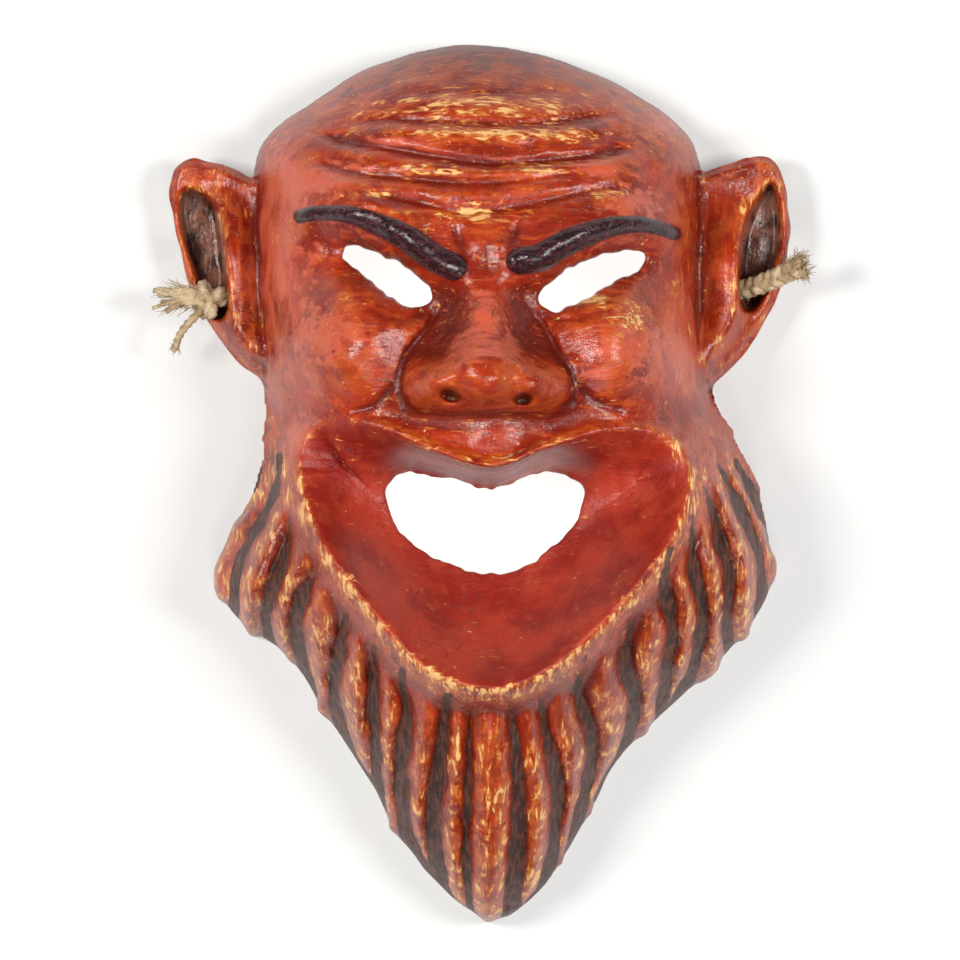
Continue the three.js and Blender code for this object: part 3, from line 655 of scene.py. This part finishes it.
def with_ears(f, ears):
    """Height from the front with the ears in it, and their bowls and worn places."""
    top = np.where(f["edge"] > 0, f["height"], 0)
    hollow = np.zeros(X.shape)
    rubbed = f["rubbed"]
    for ear in ears:
        leaf = np.where(ear["inside"] > 0, ear["front"], 0)
        rubbed = np.where(leaf > top, ear["worn"], rubbed)
        top = np.maximum(top, leaf)
        hollow = np.maximum(hollow, ear["hollow"] * (ear["inside"] > 0))
    return top, hollow, rubbed


def per_point(mesh, what):
    values = np.empty(len(mesh.vertices) * 3)
    mesh.vertices.foreach_get(what, values)
    return values.reshape(-1, 3)


def back_share(mesh, points, f):
    """1 on the inside and the underside, which are bare, and 0 on the front."""
    up = per_point(mesh, "normal")[:, 2]
    over_inside = (points[:, 2] - sample(f["inner"], points)) / sample(steepness(f["inner"]), points)
    return np.maximum(ease(over_inside, 2.2, 1.2), ease(-up, 0.2, 0.6))


def paint_fields(piece, f, ears):
    """Point attributes that say where each paint goes."""
    mesh = piece.data
    points = per_point(mesh, "co") / MM
    top, hollow, rubbed = with_ears(f, ears)
    low_pass = blur(np.where(f["edge"] > 0, f["height"], top), DETAIL_SIZE)
    detail = (top - low_pass) / DETAIL_HEIGHT
    swelling = (low_pass - blur(low_pass, SWELL_SIZE)) / SWELL_HEIGHT
    near_mouth = np.where(is_inside(X, Y, lip), 1.0, 0.0)
    beard = ease(-Y + 0.12 * np.abs(X), -8, 6) * (1 - near_mouth)
    temples = ease(np.abs(X), 56, 68) * ease(-Y, -118, -100)
    # raised parts get a painted highlight and wear on the beard; sunk parts get painted shade
    raised = np.clip(detail + swelling, 0, 1)
    sunk = np.clip(-detail - 0.4 * swelling, 0, 1)
    layers = {
        "paint": [f["groove"], f["hair"], f["mouth"], hollow],
        "shade_highlight_and_wear": [raised, sunk, np.maximum(beard, temples)],
        "tone": [rubbed, np.clip(f["pink"], 0, 1), f["wine"], beard],
    }
    for name, channels in layers.items():
        values = np.zeros((len(points), 4), np.float32)
        for i, channel in enumerate(channels):
            values[:, i] = sample(np.asarray(channel, np.float32), points)
        if name == "shade_highlight_and_wear":
            values[:, 3] = back_share(mesh, points, f)
        attribute = mesh.color_attributes.new(name, "FLOAT_COLOR", "POINT")
        attribute.data.foreach_set("color", values.ravel())


# ---- materials ----

def srgb(r, g, b):
    """Linear colour from 0..255 values."""
    return tuple(((v / 255) / 12.92 if v <= 10 else ((v / 255 + 0.055) / 1.055) ** 2.4)
                 for v in (r, g, b)) + (1.0,)


RED = srgb(128, 26, 10)
SCARLET = srgb(164, 46, 15)
ORANGE = srgb(186, 72, 24)
DARK_RED = srgb(104, 22, 12)
STAIN = srgb(118, 42, 16)
# pink paint and painted highlights
PINK_AND_HIGHLIGHT_PAINT = srgb(206, 94, 70)
# painted shade in the creases
CREASE_SHADE_RED = srgb(92, 20, 12)
# painted shade at the crown and in the folds
CROWN_AND_FOLD_SHADE = srgb(84, 22, 16)
BEARD_TAN = srgb(124, 44, 18)
# painted highlight on raised parts
HIGHLIGHT_ORANGE = srgb(190, 82, 28)
OCHRE = srgb(204, 118, 46)
PALE_OCHRE = srgb(236, 184, 116)
MOUTH_RED = srgb(138, 28, 16)
MOUTH_SCARLET = srgb(170, 50, 30)
MOUTH_DARK = srgb(104, 22, 14)
MOUTH_PALE = srgb(176, 66, 42)
DARK_BROWN = srgb(50, 24, 16)
BROWN = srgb(98, 50, 34)
WORN_BROWN = srgb(128, 78, 58)
BROW_BLACK = srgb(38, 18, 24)
BROW_PURPLE = srgb(76, 40, 46)
BROW_RUBBED = srgb(128, 44, 34)
CRACK = srgb(48, 12, 9)
PULP = srgb(150, 118, 86)
PALE_PULP = srgb(186, 158, 122)
DARK_PULP = srgb(112, 80, 56)
FIBRE = srgb(150, 128, 96)
PALE_FIBRE = srgb(200, 180, 146)
DARK_FIBRE = srgb(112, 90, 62)


class Paint:
    """A material's node graph with short words for what it is built of."""

    def __init__(self, name):
        self.material = bpy.data.materials.new(name)
        self.material.use_nodes = True
        self.tree = self.material.node_tree
        self.tree.nodes.clear()
        out = self.node("ShaderNodeOutputMaterial")
        self.shader = self.node("ShaderNodeBsdfPrincipled")
        self.tree.links.new(self.shader.outputs[0], out.inputs[0])
        self.place = self.node("ShaderNodeTexCoord").outputs["Object"]

    def node(self, kind, **settings):
        made = self.tree.nodes.new(kind)
        for key, value in settings.items():
            setattr(made, key, value)
        return made

    def feed(self, socket, value):
        if isinstance(value, bpy.types.NodeSocket):
            self.tree.links.new(value, socket)
        else:
            socket.default_value = value

    def put(self, name, value):
        """A value or a socket on the shader itself."""
        self.feed(self.shader.inputs[name], value)

    def math(self, operation, a, b=0.0, clamp=False):
        made = self.node("ShaderNodeMath", operation=operation, use_clamp=clamp)
        self.feed(made.inputs[0], a)
        self.feed(made.inputs[1], b)
        return made.outputs[0]

    def plus(self, a, b):
        return self.math("ADD", a, b)

    def minus(self, a, b):
        return self.math("SUBTRACT", a, b)

    def times(self, a, b):
        return self.math("MULTIPLY", a, b)

    def greater(self, a, b):
        return self.math("MAXIMUM", a, b)

    def noise(self, size, detail=3.0, stretch=(1, 1, 1), distortion=0.0):
        """Noise with features of about size millimetres, longer along the stretched axes."""
        mapping = self.node("ShaderNodeMapping")
        self.feed(mapping.inputs["Vector"], self.place)
        mapping.inputs["Scale"].default_value = [1 / s for s in stretch]
        made = self.node("ShaderNodeTexNoise")
        self.feed(made.inputs["Vector"], mapping.outputs[0])
        made.inputs["Scale"].default_value = 1 / (size * MM)
        made.inputs["Detail"].default_value = detail
        made.inputs["Distortion"].default_value = distortion
        return made.outputs["Fac"]

    def between(self, value, low, high):
        """0 below low, 1 above high."""
        made = self.node("ShaderNodeMapRange", interpolation_type="SMOOTHSTEP")
        self.feed(made.inputs["Value"], value)
        made.inputs["From Min"].default_value = low
        made.inputs["From Max"].default_value = high
        return made.outputs[0]

    def mix(self, share, a, b):
        made = self.node("ShaderNodeMix", data_type="RGBA", blend_type="MIX")
        self.feed(made.inputs["Factor"], share)
        self.feed(made.inputs[6], a)
        self.feed(made.inputs[7], b)
        return made.outputs[2]

    def glaze(self, colour, paint, most, value, low, high):
        """A paint over the colour: none where the value is low, the most where it is high."""
        return self.mix(self.times(self.between(value, low, high), most), colour, paint)

    def layers(self, name):
        attribute = self.node("ShaderNodeAttribute", attribute_name=name)
        split = self.node("ShaderNodeSeparateColor")
        self.feed(split.inputs[0], attribute.outputs["Color"])
        return [*split.outputs, attribute.outputs["Alpha"]]

    def bump(self, height, distance, strength, under=None):
        made = self.node("ShaderNodeBump")
        made.inputs["Strength"].default_value = strength
        made.inputs["Distance"].default_value = distance * MM
        self.feed(made.inputs["Height"], height)
        if under is not None:
            self.feed(made.inputs["Normal"], under)
        return made.outputs[0]


class PaintedPulp(Paint):
    """Red paint over pulp: brush strokes, brown wash in the grooves, ochre where rubbed."""

    def __init__(self):
        super().__init__("painted_pulp")
        self.groove, self.hair, self.mouth, self.hollow = self.layers("paint")
        self.ridge, self.crease, self.upright, self.back = self.layers("shade_highlight_and_wear")
        self.rubbed, self.pink, self.wine, self.beard = self.layers("tone")
        self.strokes = self.stroked(1.2, 9, 0.3)
        self.wide_strokes = self.stroked(3.2, 5, 0.5)
        self.flakes = self.stroked(1.7, 4.5, 0.9)
        self.cloud = self.noise(20, 4)
        self.patch = self.noise(7, 5, distortion=0.6)
        self.speck = self.noise(1.4, 6, distortion=0.5)
        self.score = self.wear_score()
        self.flecks = self.greater(self.times(self.between(self.score, 0.74, 0.79), 0.9),
                                   self.times(self.between(self.speck, 0.67, 0.71), 0.6))
        self.wash = self.between(self.speckled(self.groove, 0.6), 0.3, 0.55)
        self.brow_share = self.between(self.hair, 0.2, 0.5)
        self.line = self.crack_line()

    def stroked(self, size, length, distortion):
        """Noise drawn out sideways on the brow and downwards on the temples and beard."""
        flat = self.noise(size, 7, (length, 1, 1), distortion)
        tall = self.noise(size, 7, (1, length, 3), distortion)
        return self.plus(self.times(flat, self.minus(1.0, self.upright)), self.times(tall, self.upright))

    def speckled(self, value, amount):
        return self.plus(value, self.times(self.minus(self.speck, 0.5), amount))

    def wear_score(self):
        """How worn each place is: more on rubbed parts and on the beard's ridges, and in flakes."""
        beard_ridge = self.times(self.times(self.ridge, self.beard), 0.16)
        score = self.plus(self.times(self.rubbed, 0.25), beard_ridge)
        score = self.plus(score, self.times(self.minus(self.patch, 0.5), 0.5))
        return self.plus(score, self.flakes)

    def crack_line(self):
        """Hair cracks: a thin contour of a wandering noise, in some places only."""
        wander = self.math("ABSOLUTE", self.minus(self.noise(11, 7, distortion=1.2), 0.5))
        return self.times(self.between(wander, 0.008, 0.0), self.between(self.noise(16, 2), 0.52, 0.62))

    def reds(self):
        """The skin's red, its strokes, stains, pink paint with painted highlights, painted shade in the
        creases, and painted shade at the crown and in the folds.
        """
        colour = self.mix(self.between(self.cloud, 0.36, 0.62), RED, SCARLET)
        colour = self.glaze(colour, ORANGE, 0.75, self.wide_strokes, 0.5, 0.64)
        colour = self.glaze(colour, DARK_RED, 0.6, self.strokes, 0.54, 0.68)
        colour = self.glaze(colour, STAIN, 0.5, self.noise(11, 8, distortion=0.9), 0.52, 0.66)
        # pink paint and painted highlights, where the pink places and the wide strokes are high
        pink_and_highlight_share = self.plus(self.times(self.pink, 0.42), self.wide_strokes)
        colour = self.glaze(colour, PINK_AND_HIGHLIGHT_PAINT, 0.72, pink_and_highlight_share, 0.62, 0.88)
        # painted shade: darker red in the creases and hollows
        colour = self.glaze(colour, CREASE_SHADE_RED, 0.7, self.crease, 0.12, 0.75)
        # painted shade at the crown and along the folds
        colour = self.glaze(colour, CROWN_AND_FOLD_SHADE, self.wine, self.patch, 0.2, 0.5)
        return self.glaze(colour, BEARD_TAN, self.times(self.beard, 0.6), self.noise(5, 4), 0.4, 0.6)

    def worn(self, colour):
        """Painted highlight: raised parts are painted a lighter orange; flakes of the ochre ground show
        where they are rubbed most.
        """
        highlight_amount = self.times(self.between(self.patch, 0.4, 0.6), 0.55)
        # painted highlight: lighter orange on the raised parts
        colour = self.glaze(colour, HIGHLIGHT_ORANGE, highlight_amount, self.ridge, 0.1, 0.7)
        colour = self.glaze(colour, OCHRE, 0.7, self.score, 0.63, 0.74)
        return self.mix(self.flecks, colour, PALE_OCHRE)

    def with_mouth(self, colour):
        """The trumpet of the mouth is painted a deeper red."""
        deep = self.mix(self.between(self.cloud, 0.4, 0.62), MOUTH_RED, MOUTH_SCARLET)
        deep = self.glaze(deep, MOUTH_DARK, 0.4, self.speck, 0.5, 0.7)
        deep = self.glaze(deep, MOUTH_PALE, 0.35, self.patch, 0.5, 0.66)
        kept = self.minus(1.0, self.between(self.score, 0.66, 0.76))
        return self.mix(self.times(self.times(self.mouth, kept), 0.9), colour, deep)

    def with_brown(self, colour):
        """Brown wash in the grooves of the beard and in the ears."""
        brown = self.mix(self.between(self.strokes, 0.4, 0.62), DARK_BROWN, BROWN)
        colour = self.mix(self.wash, colour, brown)
        in_ear = self.mix(self.between(self.patch, 0.4, 0.6), brown, WORN_BROWN)
        return self.mix(self.between(self.speckled(self.hollow, 0.8), 0.35, 0.8), colour, in_ear)

    def with_brows(self, colour):
        """Purple-black eyebrows, rubbed back to red in places."""
        brow = self.mix(self.between(self.strokes, 0.45, 0.66), BROW_BLACK, BROW_PURPLE)
        brow = self.glaze(brow, BROW_RUBBED, 0.6, self.speck, 0.6, 0.68)
        return self.mix(self.brow_share, colour, brow)

    def with_bare_back(self, colour):
        pulp = self.mix(self.between(self.patch, 0.35, 0.65), PULP, PALE_PULP)
        pulp = self.glaze(pulp, DARK_PULP, 0.4, self.speck, 0.5, 0.7)
        return self.mix(self.between(self.back, 0.3, 0.7), colour, pulp)

    def roughness(self):
        """Varnish that is duller in the mouth, the wash and the flecks, and none on the back."""
        rough = self.plus(0.13, self.times(self.patch, 0.3))
        rough = self.plus(rough, self.times(self.greater(self.mouth, self.wine), 0.16))
        rough = self.plus(rough, self.times(self.wash, 0.22))
        rough = self.minus(rough, self.times(self.brow_share, 0.08))
        rough = self.plus(rough, self.times(self.flecks, 0.2))
        return self.math("ADD", rough, self.times(self.back, 0.4), clamp=True)

    def relief(self):
        normal = self.bump(self.wide_strokes, 0.5, 0.6)
        normal = self.bump(self.strokes, 0.22, 0.6, normal)
        normal = self.bump(self.speck, 0.38, 0.6, normal)
        normal = self.bump(self.noise(0.5, 4), 0.09, 0.5, normal)
        whole = self.minus(1.0, self.greater(self.line, self.flecks))
        return self.bump(whole, 0.25, 0.6, normal)


def painted_pulp():
    p = PaintedPulp()
    colour = p.with_brows(p.with_brown(p.with_mouth(p.worn(p.reds()))))
    colour = p.mix(p.times(p.line, 0.75), colour, CRACK)
    p.put("Base Color", p.with_bare_back(colour))
    p.put("Roughness", p.roughness())
    p.put("Normal", p.relief())
    p.put("Specular IOR Level", 0.5)
    return p.material


def jute():
    """Dry plant fibre: pale and darker strands, matt."""
    p = Paint("jute")
    strand = p.noise(0.5, 4, distortion=0.5)
    colour = p.mix(p.between(p.noise(5, 3), 0.35, 0.65), FIBRE, PALE_FIBRE)
    colour = p.glaze(colour, DARK_FIBRE, 0.6, strand, 0.45, 0.7)
    p.put("Base Color", colour)
    p.put("Roughness", p.plus(0.75, p.times(strand, 0.2)))
    p.put("Normal", p.bump(strand, 0.2, 0.6))
    p.put("Specular IOR Level", 0.25)
    return p.material


# ---- the tie ----

def between_knots(t, ta, tb, a, b):
    """From a at ta to b at tb."""
    return (tb - t) / (tb - ta) * a + (t - ta) / (tb - ta) * b


def centripetal(points, per=16):
    """Points along the centripetal Catmull-Rom curve through the given ones."""
    p = np.array(points, float)
    p = np.vstack([2 * p[0] - p[1], p, 2 * p[-1] - p[-2]])
    out = []
    for a, b, c, d in zip(p[:-3], p[1:-2], p[2:-1], p[3:]):
        t0 = 0.0
        t1 = t0 + math.sqrt(np.linalg.norm(b - a))
        t2 = t1 + math.sqrt(np.linalg.norm(c - b))
        t3 = t2 + math.sqrt(np.linalg.norm(d - c))
        t = np.linspace(t1, t2, per, endpoint=False)[:, None]
        ab = between_knots(t, t0, t1, a, b)
        bc = between_knots(t, t1, t2, b, c)
        cd = between_knots(t, t2, t3, c, d)
        abc = between_knots(t, t0, t2, ab, bc)
        bcd = between_knots(t, t1, t3, bc, cd)
        out.append(between_knots(t, t1, t2, abc, bcd))
    return np.vstack(out + [p[-2:-1]])


def even_steps(line, step):
    gaps = np.linalg.norm(np.diff(line, axis=0), axis=1)
    at = np.concatenate([[0], np.cumsum(gaps)])
    marks = np.linspace(0, at[-1], max(int(at[-1] / step), 3))
    return np.stack([np.interp(marks, at, line[:, i]) for i in range(3)], axis=1), marks


def sides_of(line, up=(0, 0, 1)):
    """Two directions across the line at each of its points."""
    tangent = np.gradient(line, axis=0)
    tangent /= np.linalg.norm(tangent, axis=1)[:, None]
    side = np.cross(tangent, np.array(up, float))
    side /= np.linalg.norm(side, axis=1)[:, None] + 1e-9
    return side, np.cross(side, tangent)


class Strands:
    """Twisted strands and loose fibres that make one piece."""

    def __init__(self):
        self.points = []
        self.faces = []

    def yarn(self, line, radius, sides, plies, lay, taper=None):
        """A twisted strand along a line; taper gives its girth at each share of its length."""
        step = STRAND_STEP if radius > THIN_STRAND else FIBRE_STEP
        line, marks = even_steps(np.asarray(line, float), step)
        side, up = sides_of(line, SKEWED_UP)
        angle = np.linspace(0, 2 * math.pi, sides, endpoint=False)
        start = len(self.points)
        for i, centre in enumerate(line):
            twist = 2 * math.pi * marks[i] / lay
            r = radius * (1 + PLY_RELIEF * np.cos(plies * (angle - twist)))
            if taper is not None:
                r = r * taper(i / (len(line) - 1))
            ring = centre + np.outer(r * np.cos(angle), side[i]) + np.outer(r * np.sin(angle), up[i])
            self.points.extend(ring)
        self.close_tube(start, len(line), sides)

    def close_tube(self, start, rings, sides):
        for i in range(rings - 1):
            for j in range(sides):
                a, b = start + i * sides + j, start + i * sides + (j + 1) % sides
                self.faces.append((a, b, b + sides, a + sides))
        self.faces.append(tuple(start + j for j in range(sides))[::-1])
        end = start + (rings - 1) * sides
        self.faces.append(tuple(end + j for j in range(sides)))

    def fibre(self, start, heading, length, radius, droop, curl=0.8):
        """One loose fibre that bends as it goes."""
        heading = np.array(heading, float) / np.linalg.norm(heading)
        here, line = np.array(start, float), []
        drift = rng.standard_normal(3) * curl * 0.22
        for _ in range(FIBRE_POINTS):
            line.append(here.copy())
            here = here + heading * length / (FIBRE_POINTS - 1)
            heading = heading + drift + rng.standard_normal(3) * 0.08 + np.array([0, 0, -droop])
            heading /= np.linalg.norm(heading)
        self.yarn(np.array(line), radius, 5, 2, 4, lambda t: 1 - 0.75 * t)

    def piece(self, name):
        return mesh_object(name, self.points, self.faces)


def make_cord():
    """Three strands plaited along the route."""
    line, marks = even_steps(centripetal(ROUTE), 0.5)
    side, up = sides_of(line)
    strands = Strands()
    for k in range(3):
        phase = 2 * math.pi * (marks / PLAIT_PERIOD + k / 3)
        across = side * (PLAIT_SWING * np.sin(phase))[:, None]
        over = up * (PLAIT_LIFT * np.sin(2 * phase))[:, None]
        strands.yarn(line + across + over, STRAND_RADIUS, 10, 3, 6.5)
    path = (line[::6] * MM).tolist() + [(line[-1] * MM).tolist()]
    return strands.piece("jute_plait"), path, marks[-1] * MM


def make_fray():
    """The cut end of the plait: a short blunt brush of fibres."""
    strands = Strands()
    end, before = np.array(ROUTE[-1]), np.array(ROUTE[-2])
    heading = (end - before) / np.linalg.norm(end - before)
    aside = np.cross(heading, [0, 0, 1])
    for _ in range(FRAY_FIBRES):
        spread, rise = rng.uniform(-1, 1, 2)
        back = heading * rng.uniform(1.0, 6.0)
        start = end - back + aside * spread * FRAY_HALF_WIDTH + np.array([0, 0, rise * FRAY_HALF_HEIGHT])
        way = heading + aside * spread * 0.5 + np.array([0, 0, rise * 0.3])
        strands.fibre(start, way, rng.uniform(3.2, 6.4), rng.uniform(0.16, 0.4), 0.0)
    return strands.piece("jute_cut_end")


def wind_knot(strands):
    """Two turns of the knot, and the cord that runs through them."""
    t = np.linspace(0, 2 * math.pi, 120)
    for turn in (0.0, 0.8):
        loop = np.stack([np.sin(t + turn) + 0.9 * np.sin(2 * t), np.cos(t + turn) - 0.9 * np.cos(2 * t),
                         -1.3 * np.sin(3 * t)], axis=1)
        strands.yarn(KNOT_CENTRE + loop * KNOT_RADII * (0.86 + 0.12 * turn), 1.6, 10, 3, 5)
    wave = np.linspace(0, 5, 20)
    core = np.stack([np.linspace(5.2, -5.5, 20), 0.8 * np.sin(wave), 0.6 * np.sin(wave)], axis=1)
    strands.yarn(KNOT_CENTRE + core, 2.6, 12, 3, 6)


def unravel_tail(strands):
    """The first tail: loose strands that fan out, and a brush of fibres."""
    for k in range(TAIL_STRANDS):
        spread = 2 * k / (TAIL_STRANDS - 1) - 1
        reach = rng.uniform(15, 20)
        line = [(-2, 1.5 * spread, 1.5), (-7, 2.2 * spread + 1, 2.6),
                (-0.7 * reach, 2.6 * spread + rng.uniform(-0.5, 1.5), 2.6),
                (-reach, 4.2 * spread + rng.uniform(-1, 1), 1.2)]
        girth = rng.uniform(0.75, 1.15)
        strands.yarn(centripetal(KNOT_CENTRE + line), girth, 8, 2, 4, lambda s: 1.05 - 0.25 * s)
    for _ in range(TAIL_FIBRES):
        spread = rng.uniform(-1, 1)
        start = KNOT_CENTRE + np.array([rng.uniform(-12, -2), spread * 3.2 + 0.5, 2 + rng.uniform(-1, 1)])
        way = (-1, 0.05 + spread * 0.45, rng.uniform(-0.14, 0.1))
        strands.fibre(start, way, rng.uniform(4, 9), rng.uniform(0.12, 0.3), 0.02, 0.5)


def twist_tail(strands):
    """The second tail: one thin twisted strand that hangs down, frayed at its tip."""
    strands.yarn(centripetal(KNOT_CENTRE + THIN_TAIL), 1.5, 9, 2, 5, lambda s: 1 - 0.2 * s)
    for _ in range(TIP_FIBRES):
        start = KNOT_CENTRE + THIN_TAIL_TIP + rng.uniform(-0.9, 0.9, 3)
        way = (-0.25, -1, rng.uniform(-0.2, 0.2))
        strands.fibre(start, way, rng.uniform(2.5, 5), 0.2, 0.02)


def make_knot():
    strands = Strands()
    wind_knot(strands)
    unravel_tail(strands)
    twist_tail(strands)
    return strands.piece("jute_knot")


# ---- stage ----

def make_camera():
    corner_low, corner_high = [Vector(corner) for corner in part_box("mask")]
    middle = (corner_low + corner_high) / 2
    data = bpy.data.cameras.new("camera")
    data.sensor_width = SENSOR * 1000
    data.lens = 1000 * SENSOR * CAMERA_DISTANCE / FRAME_WIDTH
    data.clip_end = 20
    camera = add_object("camera", data)
    camera.location = (middle.x, middle.y + CAMERA_OFFSET, FRAME_HEIGHT + CAMERA_DISTANCE)
    bpy.context.scene.camera = camera


def pale_sheet(name, corners, height, glow):
    mesh = bpy.data.meshes.new(name)
    mesh.from_pydata([(x, y, height) for x, y in corners], [], [tuple(range(len(corners)))])
    p = Paint(name)
    p.put("Base Color", SHEET_COLOUR)
    p.put("Roughness", SHEET_ROUGHNESS)
    p.put("Emission Color", (1, 1, 1, 1))
    p.put("Emission Strength", glow)
    mesh.materials.append(p.material)
    add_object(name, mesh)


def make_floor():
    half = FLOOR_HALF_WIDTH
    pale_sheet("floor", [(-half, -half), (half, -half), (half, half), (-half, half)], 0.0, FLOOR_GLOW)
    pale_sheet("pad", (outline[::4] * MM * PAD_SHARE).tolist(), PAD_HEIGHT, PAD_GLOW)


def area_light(name, place, size, power, tint):
    data = bpy.data.lights.new(name, "AREA")
    data.shape = "RECTANGLE"
    data.size, data.size_y = size
    data.energy = power
    data.color = tint
    lamp = add_object(name, data)
    lamp.location = place
    lamp.rotation_euler = (LAMP_TARGET - Vector(place)).to_track_quat("-Z", "Y").to_euler()


def make_light():
    world = bpy.data.worlds.new("studio")
    world.use_nodes = True
    background = world.node_tree.nodes["Background"]
    background.inputs["Color"].default_value = SKY_COLOUR
    background.inputs["Strength"].default_value = SKY_STRENGTH
    bpy.context.scene.world = world
    for lamp in LAMPS:
        area_light(*lamp)
    bpy.context.scene.view_settings.view_transform = "Standard"


# ---- the object ----

def make_tie():
    fibre_finish = jute()
    plait, plait_path, plait_length = make_cord()
    knot = make_knot()
    cut_end = make_fray()
    for piece in (plait, knot, cut_end):
        piece.data.materials.append(fibre_finish)
        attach(piece, "root")
    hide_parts("tie_cord")
    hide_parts("tie_knot")


def make_shell():
    face = carve_face()
    ears = [carve_ear(ear) for ear in EARS]
    shell = mesh_object("mask_shell", *mould(face, ears))
    thin_out(shell, SHELL_TRIANGLES)
    paint_fields(shell, face, ears)
    shell.data.materials.append(painted_pulp())
    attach(shell, "root")
    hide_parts("mask")


make_camera()
make_light()
make_floor()
make_tie()
make_shell()
